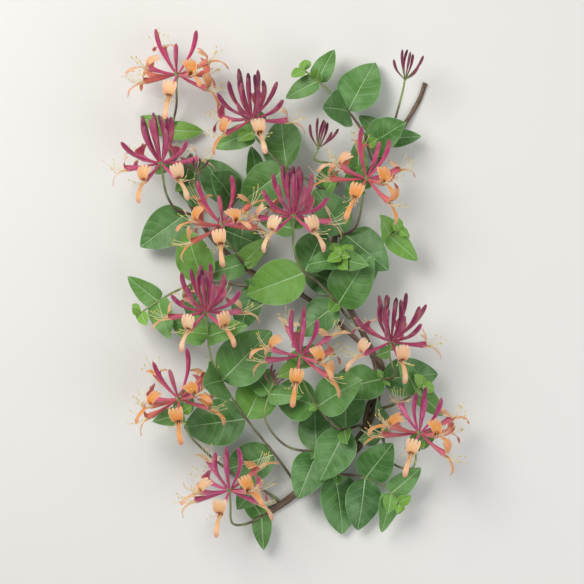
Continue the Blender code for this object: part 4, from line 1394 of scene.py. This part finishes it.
def make_stems(stems, routes, bark, green):
    """The two woody stems as one piece, and the green shoots as another."""
    woody = [
        stem_sheet(route, BARK_SPACING, BARK_SIDES, bark_radius(widths, f"bark {name}"), k * BARK_PART, 0.0)
        for k, (name, (route, widths)) in enumerate(stems.items())
    ]
    piece("woody_stem_bark", mesh_of("woody_stem_bark", joined(woody)), bark, "bark", "woody_stem")
    shoots = [
        stem_sheet(routes[shoot.name], GREEN_SPACING, GREEN_SIDES, green_radius(shoot), k * GREEN_PART)
        for k, shoot in enumerate(SHOOTS)
    ]
    piece("green_stems", mesh_of("green_stems", joined(shoots)), green, "leaf")


def placed(name, data, place):
    body = bpy.data.objects.new(name, data)
    body.location = place
    bpy.context.scene.collection.objects.link(body)
    return body


def make_studio():
    """A pale floor, soft light from above and the left, and a camera that looks straight down."""
    floor = Finish("floor")
    corners = [(x * FLOOR_HALF, y * FLOOR_HALF, 0) for x, y in ((-1, -1), (1, -1), (1, 1), (-1, 1))]
    mesh = bpy.data.meshes.new("floor")
    mesh.from_pydata(corners, [], [(0, 1, 2, 3)])
    mesh.materials.append(floor.set(Base_Color="DFDEDA", Roughness=0.9, Specular_IOR_Level=0.1))
    placed("floor", mesh, (0, 0, -FLOOR_DROP))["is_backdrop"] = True
    for name, place, size, power, colour in LIGHTS:
        lamp = bpy.data.lights.new(name, "AREA")
        lamp.size, lamp.energy, lamp.color = size, power, colour
        body = placed(name, lamp, place)
        body.rotation_euler = (-Vector(place)).to_track_quat("-Z", "Y").to_euler()
    world = bpy.data.worlds.new("studio")
    world.use_nodes = True
    sky = world.node_tree.nodes["Background"]
    sky.inputs["Color"].default_value = SKY
    sky.inputs["Strength"].default_value = SKY_STRENGTH
    scene = bpy.context.scene
    scene.world = world
    lens = bpy.data.cameras.new("camera")
    lens.sensor_width = FILM_WIDTH
    lens.lens = FILM_WIDTH * SEEN_FROM / SEEN_WIDTH
    scene.camera = placed("camera", lens, (0, 0, CAMERA_HEIGHT))
    scene.view_settings.view_transform = "Standard"


def main():
    stems, routes, leaves, flowers = lay_out()
    leaf = leaf_finish()
    petals = {name: petal_finish(name, *colours) for name, colours in PETALS.items()}
    threads = []
    for shoot in SHOOTS:
        make_leaves(shoot, routes[shoot.name], leaves[shoot.name], leaf)
        if shoot.bloom:
            threads += make_bloom(shoot, flowers[shoot.name], petals[shoot.bloom.stage])
    make_threads(threads, thread_finish())
    make_ovaries(flowers, ovary_finish())
    make_stems(stems, routes, bark_finish(), green_finish())
    make_studio()


main()
boxes = {"solids": solid_box, "scene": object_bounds()}
{name: [list(corner) for corner in box] for name, box in boxes.items()}
